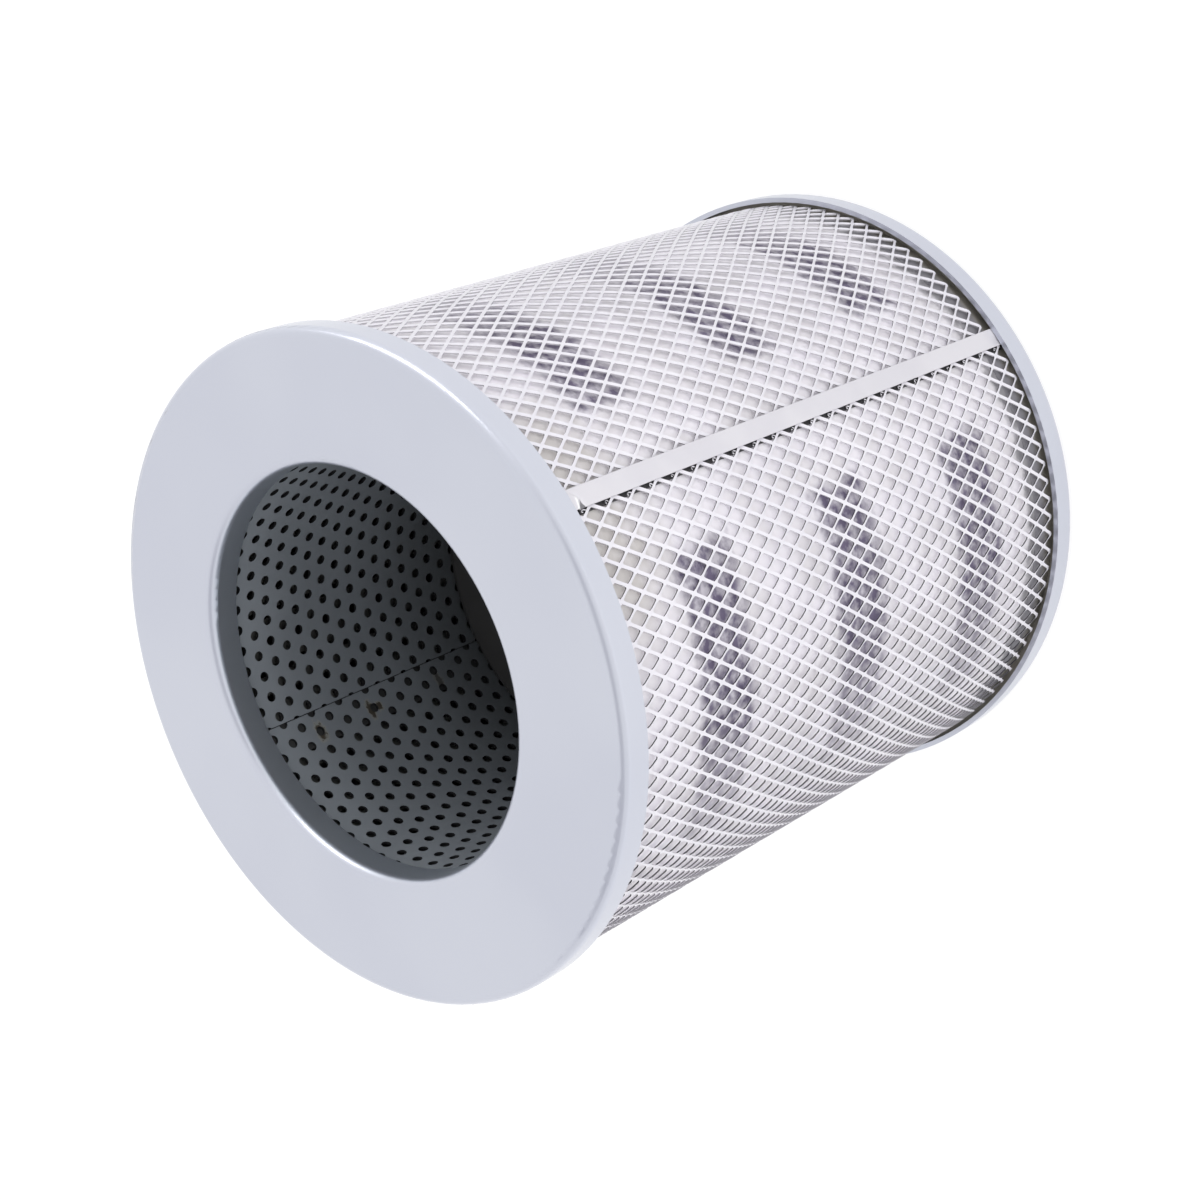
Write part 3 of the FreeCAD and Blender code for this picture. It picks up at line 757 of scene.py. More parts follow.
def run_tree(mesh: Mesh, tree: Tree, values: dict[str, object]) -> Mesh:
    """Run a Geometry Nodes tree on a mesh.

    Args:
        mesh: The mesh that goes in, which is used up.
        tree: The tree.
        values: Each named input's value.

    Returns:
        The tree's result as a plain mesh.
    """

    def dress(holder: bpy.types.Object) -> None:
        """Add the tree as a modifier and set its inputs by their identifiers."""
        modifier = holder.modifiers.new("nodes", "NODES")
        modifier.node_group = tree
        for item in tree.interface.items_tree:
            if item.name in values:
                modifier[item.identifier] = values[item.name]

    return plain_mesh(mesh, dress)


def thickened(mesh: Mesh, sheet: float) -> Mesh:
    """Give a rolled sheet its thickness, half of it to each side."""

    def dress(holder: bpy.types.Object) -> None:
        """Add the thickness as a modifier."""
        solidify = holder.modifiers.new("thickness", "SOLIDIFY")
        solidify.thickness = sheet
        solidify.offset = 0.0

    return plain_mesh(mesh, dress)


def mesh_of(points: Iterable[Vector], faces: Iterable[tuple[int, ...]]) -> Mesh:
    """Make a mesh from its points and faces."""
    mesh = bpy.data.meshes.new("tile")
    mesh.from_pydata([tuple(p) for p in points], [], [tuple(f) for f in faces])
    return mesh


def joined(meshes: Iterable[Mesh], finish: Callable[[bmesh.types.BMesh], None]) -> Mesh:
    """Join meshes into one, merge the points they share, and finish it.

    Args:
        meshes: The meshes, which are used up.
        finish: What is done to the joined mesh.

    Returns:
        The one mesh.
    """
    work = bmesh.new()
    for mesh in meshes:
        work.from_mesh(mesh)
        bpy.data.meshes.remove(mesh)
    bmesh.ops.remove_doubles(work, verts=work.verts, dist=MERGE)
    finish(work)
    whole = bpy.data.meshes.new("joined")
    work.to_mesh(whole)
    work.free()
    return whole


def close_ends(work: bmesh.types.BMesh) -> None:
    """Close every open strand end with a flat face."""
    edges = [edge for edge in work.edges if edge.is_boundary]
    bmesh.ops.holes_fill(work, edges=edges, sides=0)


def face_outwards(work: bmesh.types.BMesh) -> None:
    """Turn every face of a closed mesh outwards."""
    bmesh.ops.recalc_face_normals(work, faces=work.faces)


def ramp(value: float, start: float, length: float) -> float:
    """Give 0 up to a start, 1 past a length from it, and the share between."""
    return min(max((value - start) / length, 0.0), 1.0)


def add_piece(name: str, mesh: Mesh, finish: Finish, stands_for: str) -> bpy.types.Object:
    """Make a finished piece of the element that rides on it.

    Args:
        name: The piece's name.
        mesh: Its mesh, in the row frame.
        finish: What it is made of.
        stands_for: The CAD node that it replaces.

    Returns:
        The piece.
    """
    mesh.name = name
    mesh.materials.clear()
    mesh.materials.append(finish.material())
    mesh.shade_smooth()
    mesh.set_sharp_from_angle(angle=CREASE)
    piece = placed(name, mesh)
    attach(piece, "root")
    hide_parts(stands_for)
    triangles = sum(len(face.vertices) - 2 for face in mesh.polygons)
    LOG.info("%s: %d triangles", name, triangles)
    return piece


@dataclass
class SheetShop:
    """The two Geometry Nodes trees that make a rolled sheet: one lays its tiles out flat, one rolls it."""

    tiles: Tree
    roll: Tree

    def laid_out(
        self,
        tile: Mesh,
        finish: Finish,
        counts: tuple[int, int],
        pitches: Pair,
        starts: Pair,
        row_shift: float = 0.0,
    ) -> Mesh:
        """Lay a tile out flat.

        Args:
            tile: The tile, which is used up.
            finish: What the sheet is made of.
            counts: How many columns and rows there are.
            pitches: The steps around and along the element.
            starts: The places around and along it of the first tile.
            row_shift: By how many columns every second row is shifted.

        Returns:
            The flat sheet, with its tiles joined.
        """
        values = {"Row shift": row_shift, "Finish": finish.material()}
        for names, pair in (
            (("Columns", "Rows"), counts),
            (("Pitch around", "Pitch along"), pitches),
            (("Start around", "Start along"), starts),
        ):
            values.update(zip(names, pair))
        return run_tree(tile, self.tiles, values)

    def rolled(
        self,
        sheet: Mesh,
        finish: Finish,
        radius: float,
        start_angle: float,
        waver: Pair = (0.0, 1.0),
        pulls: tuple[Pull, Pull] = (NO_PULL, NO_PULL),
    ) -> Mesh:
        """Roll a flat sheet round the element's axis.

        Args:
            sheet: The flat sheet, which is used up.
            finish: What it is made of.
            radius: The radius it is rolled to.
            start_angle: The angle of its beginning.
            waver: How far its points stray, and how wide the waves are.
            pulls: How far its first edge was pulled, and how far along the sheet that reaches, twice.

        Returns:
            The rolled sheet.
        """
        values = {"Radius": radius, "Start angle": start_angle, "Waver": waver[0], "Waver size": waver[1]}
        for label, (pull, reach) in zip(("Near", "Far"), pulls):
            values |= {f"{label} pull": pull, f"{label} reach": reach}
        return run_tree(sheet, self.roll, {**values, "Finish": finish.material()})


@dataclass
class ExpandedJacket:
    """The white expanded-metal jacket, rolled flat: straight strands that cross in small filleted knots."""

    radius: float = 72.65 * MM
    short_way: float = 4.359 * MM
    long_way: float = 6.74 * MM
    strand_width: float = 0.66 * MM
    sheet: float = 0.30 * MM
    tilt: float = math.radians(18.0)
    fillet: float = 0.20 * MM
    swelling: float = 0.03 * MM
    first_ring: float = 0.52
    rear_tip: float = 6.35 * MM
    first_angle: float = math.radians(-89.12)
    even_columns: int = 105
    even_rows: int = 24
    waver: Pair = (0.14 * MM, 9.0 * MM)
    near_pull: Pull = ((-1.4 * MM, 3.1 * MM, 0.0), 60.0 * MM)
    far_pull: Pull = ((-0.25 * MM, -1.0 * MM, 0.0), 220.0 * MM)
    stub_width: float = 0.30 * MM
    stub_radius: float = 72.85 * MM
    stub_angle: float = math.radians(-90.0)
    stub_place: Pair = (-2.74 * MM, 8.95 * MM)
    stub_waver: Pair = (0.9 * MM, 2.5 * MM)
    # The hooked tip's middle line, across and along the element, in millimetres.
    stub_path: tuple[Pair, ...] = (
        (0.0, -0.55),
        (0.22, -0.35),
        (0.34, -0.02),
        (0.18, 0.30),
        (-0.12, 0.42),
        (-0.34, 0.28),
    )

    @property
    def lean(self) -> float:
        """Give the angle between a strand and the element's axis."""
        return math.atan2(self.short_way, self.long_way)

    def at(self, around: float, along: float, outer: bool) -> Vector:
        """Give a point on the sheet's outer or inner face."""
        rise = self.sheet / 2 if outer else -self.sheet / 2
        return Vector((around, along, rise))

    def section(self, side: int, way: int, share: float) -> list[Vector]:
        """Give the four corners of a strand's cross-section.

        Args:
            side: 1 for a strand to the right of the knot, -1 to the left.
            way: 1 for a strand towards the front, -1 towards the rear.
            share: 0 at the knot's centre, 1 halfway to the next knot.

        Returns:
            The inner left, inner right, outer right and outer left corners.
        """
        centre = Vector((side * share * self.short_way / 4, way * share * self.long_way / 4, 0.0))
        half = self.strand_width / 2 + self.swelling * (1 - share)
        flat, steep = math.cos(self.tilt), math.sin(self.tilt)
        across = Vector((math.cos(self.lean) * flat, -side * way * math.sin(self.lean) * flat, steep)) * half
        outward = Vector((0.0, 0.0, self.sheet / 2))
        return [
            centre - across - outward,
            centre + across - outward,
            centre + across + outward,
            centre - across + outward,
        ]

    def tile(self, ways: tuple[int, ...]) -> Mesh:
        """Build one knot with its half strands.

        Args:
            ways: 1 for the strands towards the front, -1 for those towards the rear.

        Returns:
            The flat tile, open where it meets its neighbours.
        """
        wide = self.strand_width / (2 * math.cos(self.lean)) + self.fillet / 2
        high = self.strand_width / (2 * math.sin(self.lean)) + self.fillet
        low = high if -1 in ways else self.fillet
        corners = ((wide, 0.0), (0.0, high), (-wide, 0.0), (0.0, -low))
        points = [self.at(x, y, outer) for outer in (False, True) for x, y in corners]
        right, front, left, rear, lift = 0, 1, 2, 3, 4
        faces: list[tuple[int, ...]] = [(rear, left, front, right), (4, 5, 6, 7)]
        if -1 not in ways:
            faces += [(rear, right, right + lift, rear + lift), (left, rear, rear + lift, left + lift)]
        for way in ways:
            tip = front if way > 0 else rear
            for side in (-1, 1):
                begin, end = (left, tip) if side < 0 else (tip, right)
                ring = [begin, end, end + lift, begin + lift]
                for share in (self.first_ring, 1.0):
                    new_ring = list(range(len(points), len(points) + 4))
                    points += self.section(side, way, share)
                    for i in range(4):
                        j = (i + 1) % 4
                        face = (ring[i], new_ring[i], new_ring[j], ring[j])
                        faces.append(face if way > 0 else (face[0], *reversed(face[1:])))
                    ring = new_ring
        return mesh_of(points, faces)

    def half(self, right: bool, shop: SheetShop) -> Mesh:
        """Lay out and roll one half of the jacket.

        Args:
            right: Whether it is the half that starts at the strip, which was pulled askew there.
            shop: What lays out and rolls the sheet.

        Returns:
            The rolled half.
        """
        middle = (self.even_columns + 1) // 2
        first = 0 if right else middle
        even = middle if right else self.even_columns - middle
        odd, odd_shift = (even - 1, 0.5) if right else (even, -0.5)
        start = self.rear_tip + self.fillet
        parts = (
            ((1,), even, 1, 0.0, start),
            ((1, -1), even, self.even_rows - 1, 0.0, start + self.long_way),
            ((1, -1), odd, self.even_rows - 1, odd_shift, start + self.long_way / 2),
        )
        sheets = []
        for ways, columns, rows, shift, along in parts:
            counts, starts = (columns, rows), ((first + shift) * self.short_way, along)
            pitches = (self.short_way, self.long_way)
            sheets.append(shop.laid_out(self.tile(ways), JACKET_COATING, counts, pitches, starts))
        flat = joined(sheets, close_ends)
        pulls = (self.near_pull, self.far_pull)
        return shop.rolled(flat, JACKET_COATING, self.radius, self.first_angle, self.waver, pulls)

    def stub(self) -> Mesh:
        """Build one strand's trimmed end: a short hooked tip that the seam left loose."""
        path = self.stub_path
        points: list[Vector] = []
        faces: list[tuple[int, ...]] = []
        for step, (across, along) in enumerate(path):
            before = path[max(step - 1, 0)]
            after = path[min(step + 1, len(path) - 1)]
            ahead = Vector((after[0] - before[0], after[1] - before[1], 0.0)).normalized()
            aside = Vector((ahead.y, -ahead.x, 0.0)) * self.stub_width / 2
            centre = Vector((across, along, 0.0)) * MM
            rise = Vector((0.0, 0.0, self.stub_width / 2))
            points += [centre - aside, centre - rise, centre + aside, centre + rise]
            if step:
                low, high = 4 * step - 4, 4 * step
                faces += [(low + i, low + (i + 1) % 4, high + (i + 1) % 4, high + i) for i in range(4)]
        last = len(points) - 4
        faces += [(3, 2, 1, 0), (last, last + 1, last + 2, last + 3)]
        return mesh_of(points, faces)

    def trimmed_ends(self, shop: SheetShop) -> Mesh:
        """Lay the trimmed ends out in the gaps along the strip's lower edge."""
        counts, pitches = (1, self.even_rows - 1), (self.short_way, self.long_way)
        ends = shop.laid_out(self.stub(), JACKET_COATING, counts, pitches, self.stub_place)
        flat = joined([ends], face_outwards)
        return shop.rolled(flat, JACKET_COATING, self.stub_radius, self.stub_angle, self.stub_waver)

    def build(self, shop: SheetShop) -> None:
        """Make the jacket in two halves, so that each stays light enough to keep, and its loose ends."""
        meshes = {
            "expanded_jacket_right": self.half(True, shop),
            "expanded_jacket_left": self.half(False, shop),
            "trimmed_strand_ends": self.trimmed_ends(shop),
        }
        for name, mesh in meshes.items():
            add_piece(name, mesh, JACKET_COATING, "outer_jacket")


@dataclass
class PerforatedCore:
    """The rolled core: round holes in staggered rings, and a lap held by spot welds."""

    INNER_RADIUS = 47.25 * MM

    sheet: float = 0.75 * MM
    hole_radius: float = 1.17 * MM
    ring_pitch: float = 4.31 * MM
    holes_per_turn: float = 60.4
    first_ring: float = 159.5 * MM
    rings: int = 36
    plain_rings: int = 2
    spare_columns: int = 3
    row_shift: float = 0.5
    rear: float = 3.2 * MM
    front: float = 164.8 * MM
    seam_angle: float = math.radians(82.5)
    slit: float = 0.22 * MM
    lap: float = 8.0 * MM
    under: float = 2.4 * MM
    leaf_gap: float = 0.28 * MM

    def outline(self, pitch: float) -> list[Vector]:
        """Give the twelve points round a hole's six-sided share of the sheet."""
        rise = self.ring_pitch
        corner = (rise * rise - pitch * pitch / 4) / (2 * rise)
        peak = rise - corner
        quarter = [
            Vector((pitch / 2, 0.0, 0.0)),
            Vector((pitch / 2, corner, 0.0)),
            Vector((pitch / 4, (corner + peak) / 2, 0.0)),
            Vector((0.0, peak, 0.0)),
        ]
        half = quarter + [Vector((-p.x, p.y, 0.0)) for p in reversed(quarter[:3])]
        return half + [Vector((p.x, -p.y, 0.0)) for p in reversed(half[1:-1])]

    def tile(self, pitch: float, holed: bool) -> Mesh:
        """Build one share of the sheet, with its hole or plain."""
        rim = self.outline(pitch)
        count = len(rim)
        if not holed:
            return mesh_of([*rim, Vector()], [(i, (i + 1) % count, count) for i in range(count)])
        turns = [i * math.tau / count for i in range(count)]
        hole = [Vector((math.cos(turn), math.sin(turn), 0.0)) * self.hole_radius for turn in turns]
        faces = [(i, (i + 1) % count, count + (i + 1) % count, count + i) for i in range(count)]
        return mesh_of(rim + hole, faces)

    def leaf(self, shop: SheetShop, radius: float, first: float, last: float, start_angle: float) -> Mesh:
        """Lay out, cut and roll one leaf of the sheet.

        Args:
            shop: What lays out and rolls the sheet.
            radius: The middle of the rolled sheet's thickness.
            first: Where the leaf begins along the sheet.
            last: Where it ends.
            start_angle: The angle of its beginning.

        Returns:
            The rolled leaf, with its thickness.
        """
        pitch = math.tau * (self.INNER_RADIUS + self.sheet / 2) / self.holes_per_turn
        columns = math.ceil((last - first) / pitch) + self.spare_columns
        column = math.floor(first / pitch) - 1
        bottom = self.first_ring - (self.rings - 1) * self.ring_pitch
        parts = (
            (True, self.rings, bottom),
            (False, self.plain_rings, bottom - self.plain_rings * self.ring_pitch),
            (False, self.plain_rings, bottom + self.rings * self.ring_pitch),
        )
        sheets = []
        for holed, rows, along in parts:
            tile, counts, starts = self.tile(pitch, holed), (columns, rows), (column * pitch, along)
            pitches = (pitch, self.ring_pitch)
            sheets.append(shop.laid_out(tile, CORE_ZINC, counts, pitches, starts, self.row_shift))

        def trim(work: bmesh.types.BMesh) -> None:
            """Cut the sheet straight on its four sides and start it at zero."""
            cuts = (
                (Vector((first, 0, 0)), Vector((-1, 0, 0))),
                (Vector((last, 0, 0)), Vector((1, 0, 0))),
                (Vector((0, self.rear, 0)), Vector((0, -1, 0))),
                (Vector((0, self.front, 0)), Vector((0, 1, 0))),
            )
            for point, normal in cuts:
                everything = [*work.verts, *work.edges, *work.faces]
                bmesh.ops.bisect_plane(
                    work, geom=everything, dist=MERGE, plane_co=point, plane_no=normal, clear_outer=True
                )
            for vertex in work.verts:
                vertex.co.x -= first

        rolled = shop.rolled(joined(sheets, trim), CORE_ZINC, radius, start_angle)
        return thickened(rolled, self.sheet)

    def build(self, shop: SheetShop) -> None:
        """Make the core as one piece: the full turn and the lap behind its seam."""
        radius = self.INNER_RADIUS + self.sheet / 2
        turn = math.tau * radius
        inner = self.leaf(shop, radius, 0.0, turn - self.slit, self.seam_angle)
        outer_radius = radius + self.sheet + self.leaf_gap
        lap_start = self.seam_angle - self.under / radius
        outer = self.leaf(shop, outer_radius, turn - self.under, turn + self.lap, lap_start)
        mesh = joined([inner, outer], lambda work: None)
        add_piece("perforated_core", mesh, CORE_ZINC, "core_tube")


@dataclass
class FleeceWrap:
    """The nonwoven wrap: stretched round the pleats, dipping between them, with a glued lap at the back."""

    UV_NAME = "laid_flat"
    START_ANGLE = math.radians(110.0)
    RADIUS = 71.45 * MM

    sheet: float = 0.28 * MM
    rear: float = 12.0 * MM
    front: float = 164.8 * MM
    lap: float = 11.0 * MM
    lap_rise: float = 0.3 * MM
    lap_step: float = 3.0 * MM
    pleats: int = 48
    dip: float = 0.10 * MM
    pucker: float = 0.05 * MM
    pucker_length: float = 9.0 * MM
    pucker_sway: float = 2.3
    # How often the puckers sway and come and go in one turn.
    pucker_turns: Pair = (3.0, 11.0)
    steps_per_pleat: int = 8
    rows: int = 77

    @classmethod
    def unrolled(cls, angle: float) -> float:
        """Give the place along the flat wrap, in metres, of an angle in degrees."""
        turn = (math.radians(angle) - cls.START_ANGLE) % math.tau
        return turn * cls.RADIUS

    def height(self, around: float, along: float) -> float:
        """Give how far the wrap stands from its plain radius at a place on the flat sheet."""
        angle = around / self.RADIUS
        wave = self.dip * math.cos(self.pleats * angle)
        sway, fade = self.pucker_turns
        phase = along / self.pucker_length + self.pucker_sway * math.sin(sway * angle)
        pucker = self.pucker * math.sin(phase) * math.cos(fade * angle)
        past = ramp(around, math.tau * self.RADIUS - self.lap_step, self.lap_step)
        return wave + pucker + self.lap_rise * past * past * (3 - 2 * past)

    def build(self) -> None:
        length = math.tau * self.RADIUS + self.lap
        columns = round(self.pleats * self.steps_per_pleat * length / (math.tau * self.RADIUS))
        points: list[Vector] = []
        flat: list[Pair] = []
        for column in range(columns + 1):
            around = length * column / columns
            angle = self.START_ANGLE + around / self.RADIUS
            for row in range(self.rows + 1):
                along = self.rear + (self.front - self.rear) * row / self.rows
                reach = self.RADIUS + self.height(around, along)
                points.append(Vector((reach * math.cos(angle), reach * math.sin(angle), along)))
                flat.append((around, along))
        step = self.rows + 1
        corners = [column * step + row for column in range(columns) for row in range(self.rows)]
        mesh = mesh_of(points, [(low, low + step, low + step + 1, low + 1) for low in corners])
        layer = mesh.uv_layers.new(name=self.UV_NAME)
        for loop in mesh.loops:
            layer.data[loop.index].uv = flat[loop.vertex_index]
        piece = add_piece("fleece_wrap", thickened(mesh, self.sheet), FLEECE, "print_wrap")


@dataclass
class SeamStrip:
    """The jacket's folded seam: a pale outer leaf, pinched and dimpled at its ends, and a dark inner leaf
    whose edge past the outer one is a painted shadow.
    """

    outer_radius: float = 73.3 * MM
    inner_radius: float = 72.02 * MM
    sheet: float = 0.4 * MM
    outer_sides: Pair = (-2.3 * MM, 2.3 * MM)
    # The inner leaf reaches past the outer one's lower edge, so that its dark edge paints the strip's shadow
    # there.
    inner_sides: Pair = (-3.05 * MM, 2.2 * MM)
    rear: float = 4.1 * MM
    front: float = 164.8 * MM
    crown: float = 0.07 * MM
    # The dimple near the rear: its middle and its half size, across and along, and its depth.
    dimple_at: Pair = (-0.9 * MM, 7.2 * MM)
    dimple_size: Pair = (1.1 * MM, 1.6 * MM)
    dimple_depth: float = 0.30 * MM
    # The rear corner's curl: where it starts, in half widths, its length and its depth.
    curl_from: float = 0.35
    curl_length: float = 3.2 * MM
    curl_depth: float = 0.55 * MM
    # The front's pressed corner: where its line starts at the strip's upper side, and how it slants.
    press_at: Pair = (0.5 * MM, 157.75 * MM)
    press_slope: float = 0.28
    # The standing edge beside it, over how much of the strip's width it grows, and its place and width.
    edge_lift: float = 0.32 * MM
    edge_growth: float = 1.0 * MM
    edge_away: float = 0.25 * MM
    edge_width: float = 0.30 * MM
    hollow_depth: float = 0.65 * MM
    hollow_from: float = 0.2 * MM
    hollow_growth: float = 1.6 * MM
    hollow_away: float = 0.80 * MM
    hollow_width: float = 0.62 * MM
    crease_depth: float = 0.12 * MM
    crease_slope: float = 1.15
    crease_width: float = 0.45 * MM
    steps_across: int = 22
    # The heights between which its rings lie closer or wider, and the number of rings in each span.
    span_ends: tuple[float, ...] = (12.0 * MM, 154.5 * MM, 160.5 * MM)
    span_steps: tuple[int, ...] = (20, 24, 48)

    def surface(self, across: float, along: float) -> float:
        """Give how far the outer leaf is raised or pressed in at a place on it.

        Args:
            across: The place across the strip, from its middle.
            along: Its height along the element.

        Returns:
            How far the place stands out, less than zero where it is pressed in.
        """
        share = 2 * across / (self.outer_sides[1] - self.outer_sides[0])
        lift = self.crown * (1 - share * share)
        # The rear end has a thumb-sized dimple, and its lower corner curls down to the rim.
        (wide, high), (middle, height) = self.dimple_size, self.dimple_at
        lift -= self.dimple_depth * self.bump((across - middle) / wide, (along - height) / high)
        curl = max(0.0, -share - self.curl_from)
        lift -= self.curl_depth * curl * max(0.0, 1 - (along - self.rear) / self.curl_length)
        # At the front a triangle of the lower corner is pressed in behind a standing edge beside the rim,
        # and a shallow crease runs on from it to the upper edge.
        side, height = self.press_at
        slant = along - height
        lower = ramp(-across, -side, self.edge_growth)
        edge = slant + self.press_slope * (across - side)
        lift += self.edge_lift * lower * self.bump(0.0, (edge - self.edge_away) / self.edge_width)
        deep = ramp(-across, self.hollow_from, self.hollow_growth)
        lift -= self.hollow_depth * deep * self.bump(0.0, (edge + self.hollow_away) / self.hollow_width)
        crease = slant - self.crease_slope * (across - side)
        return lift - self.crease_depth * (1 - lower) * self.bump(0.0, crease / self.crease_width)

    def bump(self, across: float, along: float) -> float:
        """Give a round hump of height one."""
        return math.exp(-(across * across + along * along))

    def stations(self) -> list[float]:
        """Give the heights along the strip, close together at its shaped ends."""
        begins = (self.rear, *self.span_ends)
        spans = zip(begins, self.span_ends, self.span_steps)
        heights = [begin + (end - begin) * i / steps for begin, end, steps in spans for i in range(steps)]
        return heights + [self.span_ends[-1], self.front]

    def bar(self, sides: Pair) -> list[Pair]:
        """Give a flat bar's cross-section with half-round long edges, its outer face first."""
        half = self.sheet / 2
        begin, end = sides[0] + half, sides[1] - half
        upper = [(begin + (end - begin) * i / self.steps_across, half) for i in range(self.steps_across + 1)]
        turns = (math.pi / 4, 0.0, -math.pi / 4)
        right = [(end + half * math.cos(turn), half * math.sin(turn)) for turn in turns]
        left = [(begin - half * math.cos(turn), -half * math.sin(turn)) for turn in turns]
        lower = [(across, -half) for across, _ in reversed(upper)]
        return upper + right + lower + left

    def leaf(self, sides: Pair, radius: float, shaped: bool) -> Mesh:
        """Build one closed leaf.

        Args:
            sides: The places of its long edges across the strip.
            radius: The radius of the middle of its sheet.
            shaped: Whether its ends are pressed to shape.

        Returns:
            The leaf, with its faces outwards.
        """
        section = self.bar(sides)
        count = len(section)
        heights = self.stations()
        points: list[Vector] = []
        for along in heights:
            for across, rise in section:
                lift = self.surface(across, along) if shaped else 0.0
                reach = radius + rise + lift
                points.append(Vector((across, -math.sqrt(reach * reach - across * across), along)))
        faces: list[tuple[int, ...]] = []
        for low in range(0, (len(heights) - 1) * count, count):
            for i in range(count):
                j = (i + 1) % count
                faces.append((low + i, low + j, low + count + j, low + count + i))
        faces.append(tuple(reversed(range(count))))
        faces.append(tuple(range(len(points) - count, len(points))))
        return joined([mesh_of(points, faces)], face_outwards)

    def build(self) -> None:
        """Make the strip's two leaves as two pieces: the pale outer one, and the dark inner one whose edge is
        a painted shadow.
        """
        outer = self.leaf(self.outer_sides, self.outer_radius, True)
        add_piece("seam_strip", outer, STRIP_COATING, "jacket_seam_strip")
        inner = self.leaf(self.inner_sides, self.inner_radius, False)
        add_piece("seam_inner_leaf", inner, SEAM_SHADOW_STEEL, "jacket_seam_strip")


@dataclass
class CadDress:
    """Which finish each CAD node that stays gets."""

    def build(self) -> None:
        """Assign the finishes to the nodes' own material slots."""
        finishes = {
            "front_end_cap": PAINT,
            "rear_end_cap": PAINT,
            "front_potting": ADHESIVE,
            "rear_potting": ADHESIVE,
            "core_plate": PLATE_STEEL,
            "downstream_mesh": WIRE,
            "upstream_mesh": WIRE,
            "downstream_fleece": PACK_FLEECE,
            "upstream_fleece": PACK_FLEECE,
            "fine_glass_layer": GLASS_FIBRE,
            "coarse_glass_layer": GLASS_FIBRE,
            "pleat_seam_clip": CLIP_STEEL,
        }
        for name, finish in finishes.items():
            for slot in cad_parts[name].material_slots:
                slot.material = finish.material()
            LOG.info("%s: %s", name, finish.name)


def aim_at(place: Vector, thing: bpy.types.Object, azimuth: float, elevation: float, far: float) -> None:
    """Stand a lamp or a card far off a place, in a direction in degrees, and turn it to that place."""
    turn, rise = math.radians(azimuth), math.radians(elevation)
    away = Vector((math.cos(rise) * math.cos(turn), math.cos(rise) * math.sin(turn), math.sin(rise)))
    thing.location = place + away * far
    thing.rotation_mode = "QUATERNION"
    thing.rotation_quaternion = away.to_track_quat("Z", "Y")


@dataclass
class Lamp:
    """One soft studio lamp. A mirrored one shows only in reflections, and the others only light."""

    name: str
    azimuth: float
    elevation: float
    wide: float
    high: float
    watts: float
    mirrored: bool = False
    distance: float = 1.0
    aim: Triple = (0.0, 0.0, 0.085)

    def build(self) -> None:
        """Hang the lamp and turn it to its aim."""
        data = bpy.data.lights.new(self.name, "AREA")
        data.shape = "RECTANGLE"
        data.size, data.size_y = self.wide, self.high
        data.energy = self.watts
        lamp = placed(self.name, data)
        aim_at(Vector(self.aim), lamp, self.azimuth, self.elevation, self.distance)
        lamp.visible_glossy = self.mirrored
        lamp.visible_diffuse = not self.mirrored


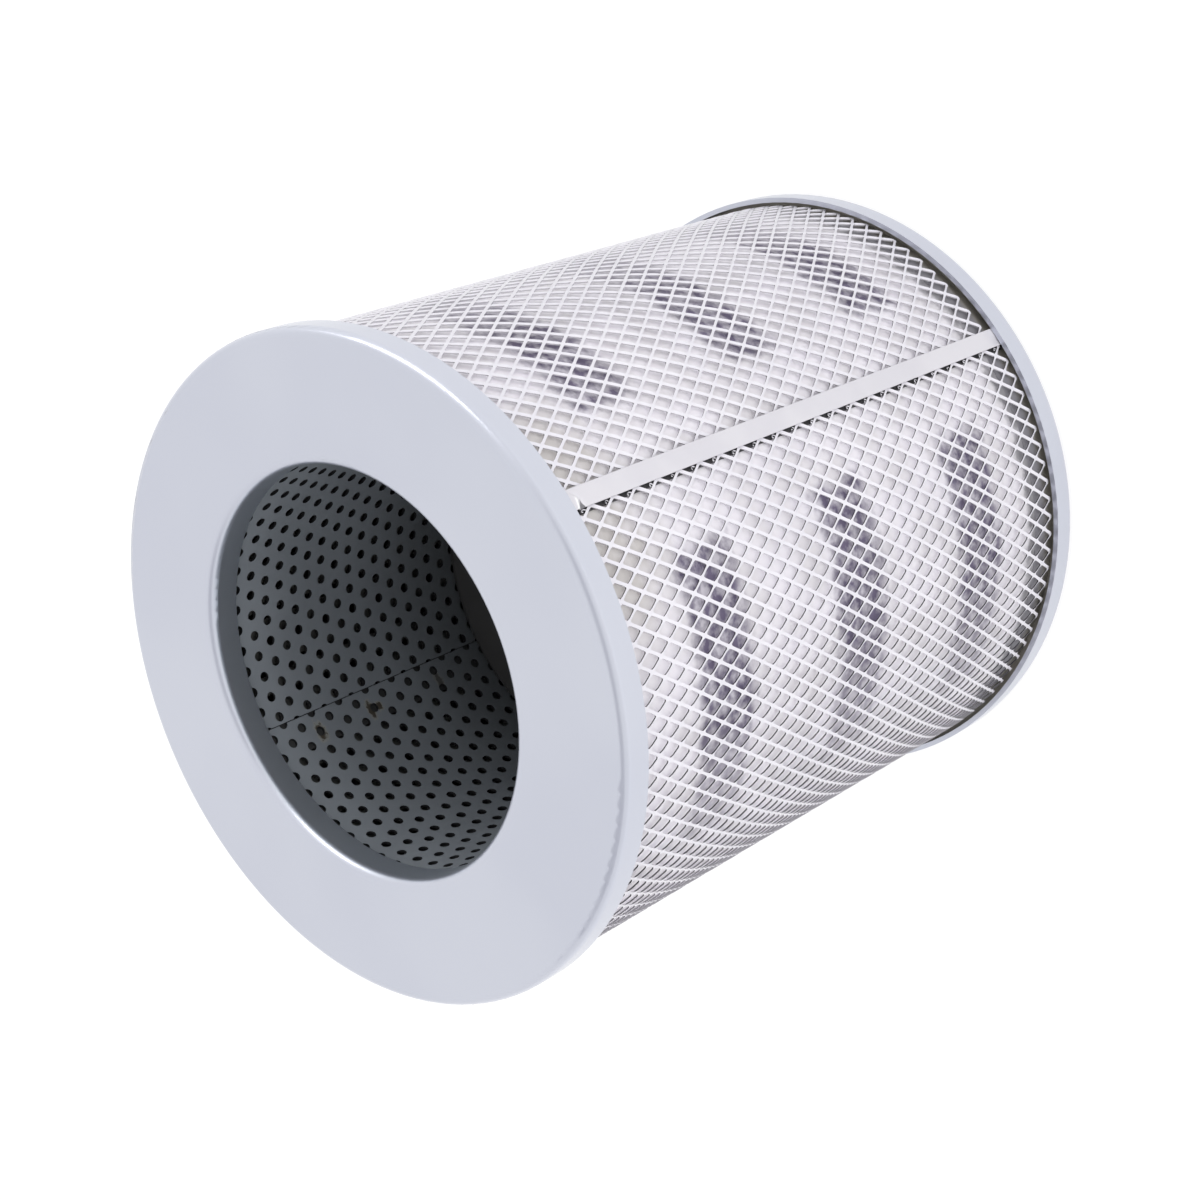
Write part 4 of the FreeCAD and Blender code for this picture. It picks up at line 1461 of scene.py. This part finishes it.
@dataclass
class Studio:
    """The camera, the lamps, the white surround, the pale floor and a grey card."""

    camera_place: Triple = (-0.07827, -0.37449, 0.46865)
    camera_aim: Triple = (-0.00571, 0.00108, 0.09204)
    camera_roll: float = math.radians(113.63)
    lens: float = 68.75
    clip: Pair = (0.01, 50.0)
    white: str = "#FFFFFF"
    ambient: float = 1.15
    floor_tint: str = "#959595"
    floor_glow: float = 0.74
    floor_side: float = 8.0
    floor_drop: float = 0.2 * MM
    # The grey card glows and is seen only in reflections: a painted reflection of the studio's unlit side.
    card_tint: str = "#CFCFD3"
    card_size: Pair = (2.4, 0.6)
    card_azimuth: float = -150.0
    card_elevation: float = 60.0
    card_distance: float = 1.1

    def camera(self) -> None:
        """Put the camera where the photograph was taken from, rolled as it was."""
        place, aim = Vector(self.camera_place), Vector(self.camera_aim)
        forward = (aim - place).normalized()
        level_right = forward.cross(Vector((0, 0, 1))).normalized()
        level_up = level_right.cross(forward)
        up = level_up * math.cos(self.camera_roll) + level_right * math.sin(self.camera_roll)
        right = forward.cross(up)
        data = bpy.data.cameras.new("camera")
        data.lens = self.lens
        data.clip_start, data.clip_end = self.clip
        camera = placed("camera", data)
        turn = Matrix((right, up, -forward)).transposed().to_4x4()
        camera.matrix_world = Matrix.Translation(place) @ turn
        bpy.context.scene.camera = camera

    def seen(self, tree: Tree) -> Feed:
        """Give 1 for rays that show the surround itself, and 0 for rays that only light the element."""
        path = add_node(tree, "ShaderNodeLightPath").outputs
        total = path["Is Camera Ray"]
        for name in ("Is Glossy Ray", "Is Transmission Ray"):
            total = add_node(tree, MATH, {0: total, 1: path[name]}, operation="MAXIMUM")
        return total

    def surround(self) -> None:
        """Make the world white where it is seen and an even soft light elsewhere."""
        world = bpy.data.worlds.new("white_surround")
        bpy.context.scene.world = world
        world.use_nodes = True
        tree = world.node_tree
        tree.nodes.clear()
        strength = add_node(tree, RANGE, {0: self.seen(tree), 3: self.ambient, 4: 1.0})
        glow = add_node(tree, "ShaderNodeBackground", {0: linear(self.white), 1: strength})
        add_node(tree, "ShaderNodeOutputWorld", {0: glow})

    def board(self, size: Pair, height: float, material: bpy.types.Material) -> Mesh:
        """Make the mesh of one flat board of the studio."""
        wide, high = size[0] / 2, size[1] / 2
        corners = [Vector((x * wide, y * high, height)) for x, y in ((-1, -1), (1, -1), (1, 1), (-1, 1))]
        mesh = mesh_of(corners, [(0, 1, 2, 3)])
        mesh.materials.append(material)
        return mesh

    def floor(self) -> None:
        """Lay the pale floor, which shows white and keeps the element's soft shadow."""
        material, tree = bare_material("pale_floor")
        plain = add_node(tree, "ShaderNodeBsdfDiffuse", {"Color": linear(self.floor_tint)})
        strength = add_node(tree, MATH, {0: self.seen(tree), 1: self.floor_glow}, operation="MULTIPLY")
        glow = add_node(tree, "ShaderNodeEmission", {"Color": linear(self.white), "Strength": strength})
        both = add_node(tree, "ShaderNodeAddShader", {0: plain, 1: glow})
        add_node(tree, "ShaderNodeOutputMaterial", {"Surface": both})
        floor = placed("floor", self.board((self.floor_side, self.floor_side), -self.floor_drop, material))

    def card(self) -> None:
        """Stand a glowing grey card where the unlit side of the studio was, which only reflections show: a
        painted reflection that draws a grey line along the caps' bends.
        """
        material, tree = bare_material("grey_card")
        grey = add_node(tree, "ShaderNodeEmission", {"Color": linear(self.card_tint)})
        add_node(tree, "ShaderNodeOutputMaterial", {"Surface": grey})
        card = placed("grey_card", self.board(self.card_size, 0.0, material))
        aim = Vector(self.camera_aim)
        aim_at(aim, card, self.card_azimuth, self.card_elevation, self.card_distance)
        card.visible_camera = card.visible_diffuse = card.visible_shadow = False

    def build(self) -> None:
        """Set up the whole studio."""
        self.camera()
        self.surround()
        self.floor()
        self.card()
        lamps = (
            Lamp("front_lamp", azimuth=-92.0, elevation=10.0, wide=1.4, high=0.36, watts=2.6),
            Lamp("key_lamp", azimuth=-40.0, elevation=18.0, wide=1.2, high=0.6, watts=0.8),
            Lamp("side_lamp", azimuth=180.0, elevation=15.0, wide=1.0, high=0.5, watts=0.6),
            Lamp("low_lamp", azimuth=-150.0, elevation=8.0, wide=1.2, high=0.4, watts=1.2),
            Lamp("edge_lamp", azimuth=-22.0, elevation=26.0, wide=0.65, high=0.13, watts=2.0, mirrored=True),
        )
        for lamp in lamps:
            lamp.build()
        bpy.context.scene.view_settings.view_transform = "Standard"


def main() -> None:
    """Build the studio, then each part of the element in order."""
    logging.basicConfig(level=logging.INFO, format="%(name)s: %(message)s")
    shop = SheetShop(tile_tree(), roll_tree())
    Studio().build()
    CadDress().build()
    PerforatedCore().build(shop)
    FleeceWrap().build()
    ExpandedJacket().build(shop)
    SeamStrip().build()


if __name__ == "__main__":
    main()
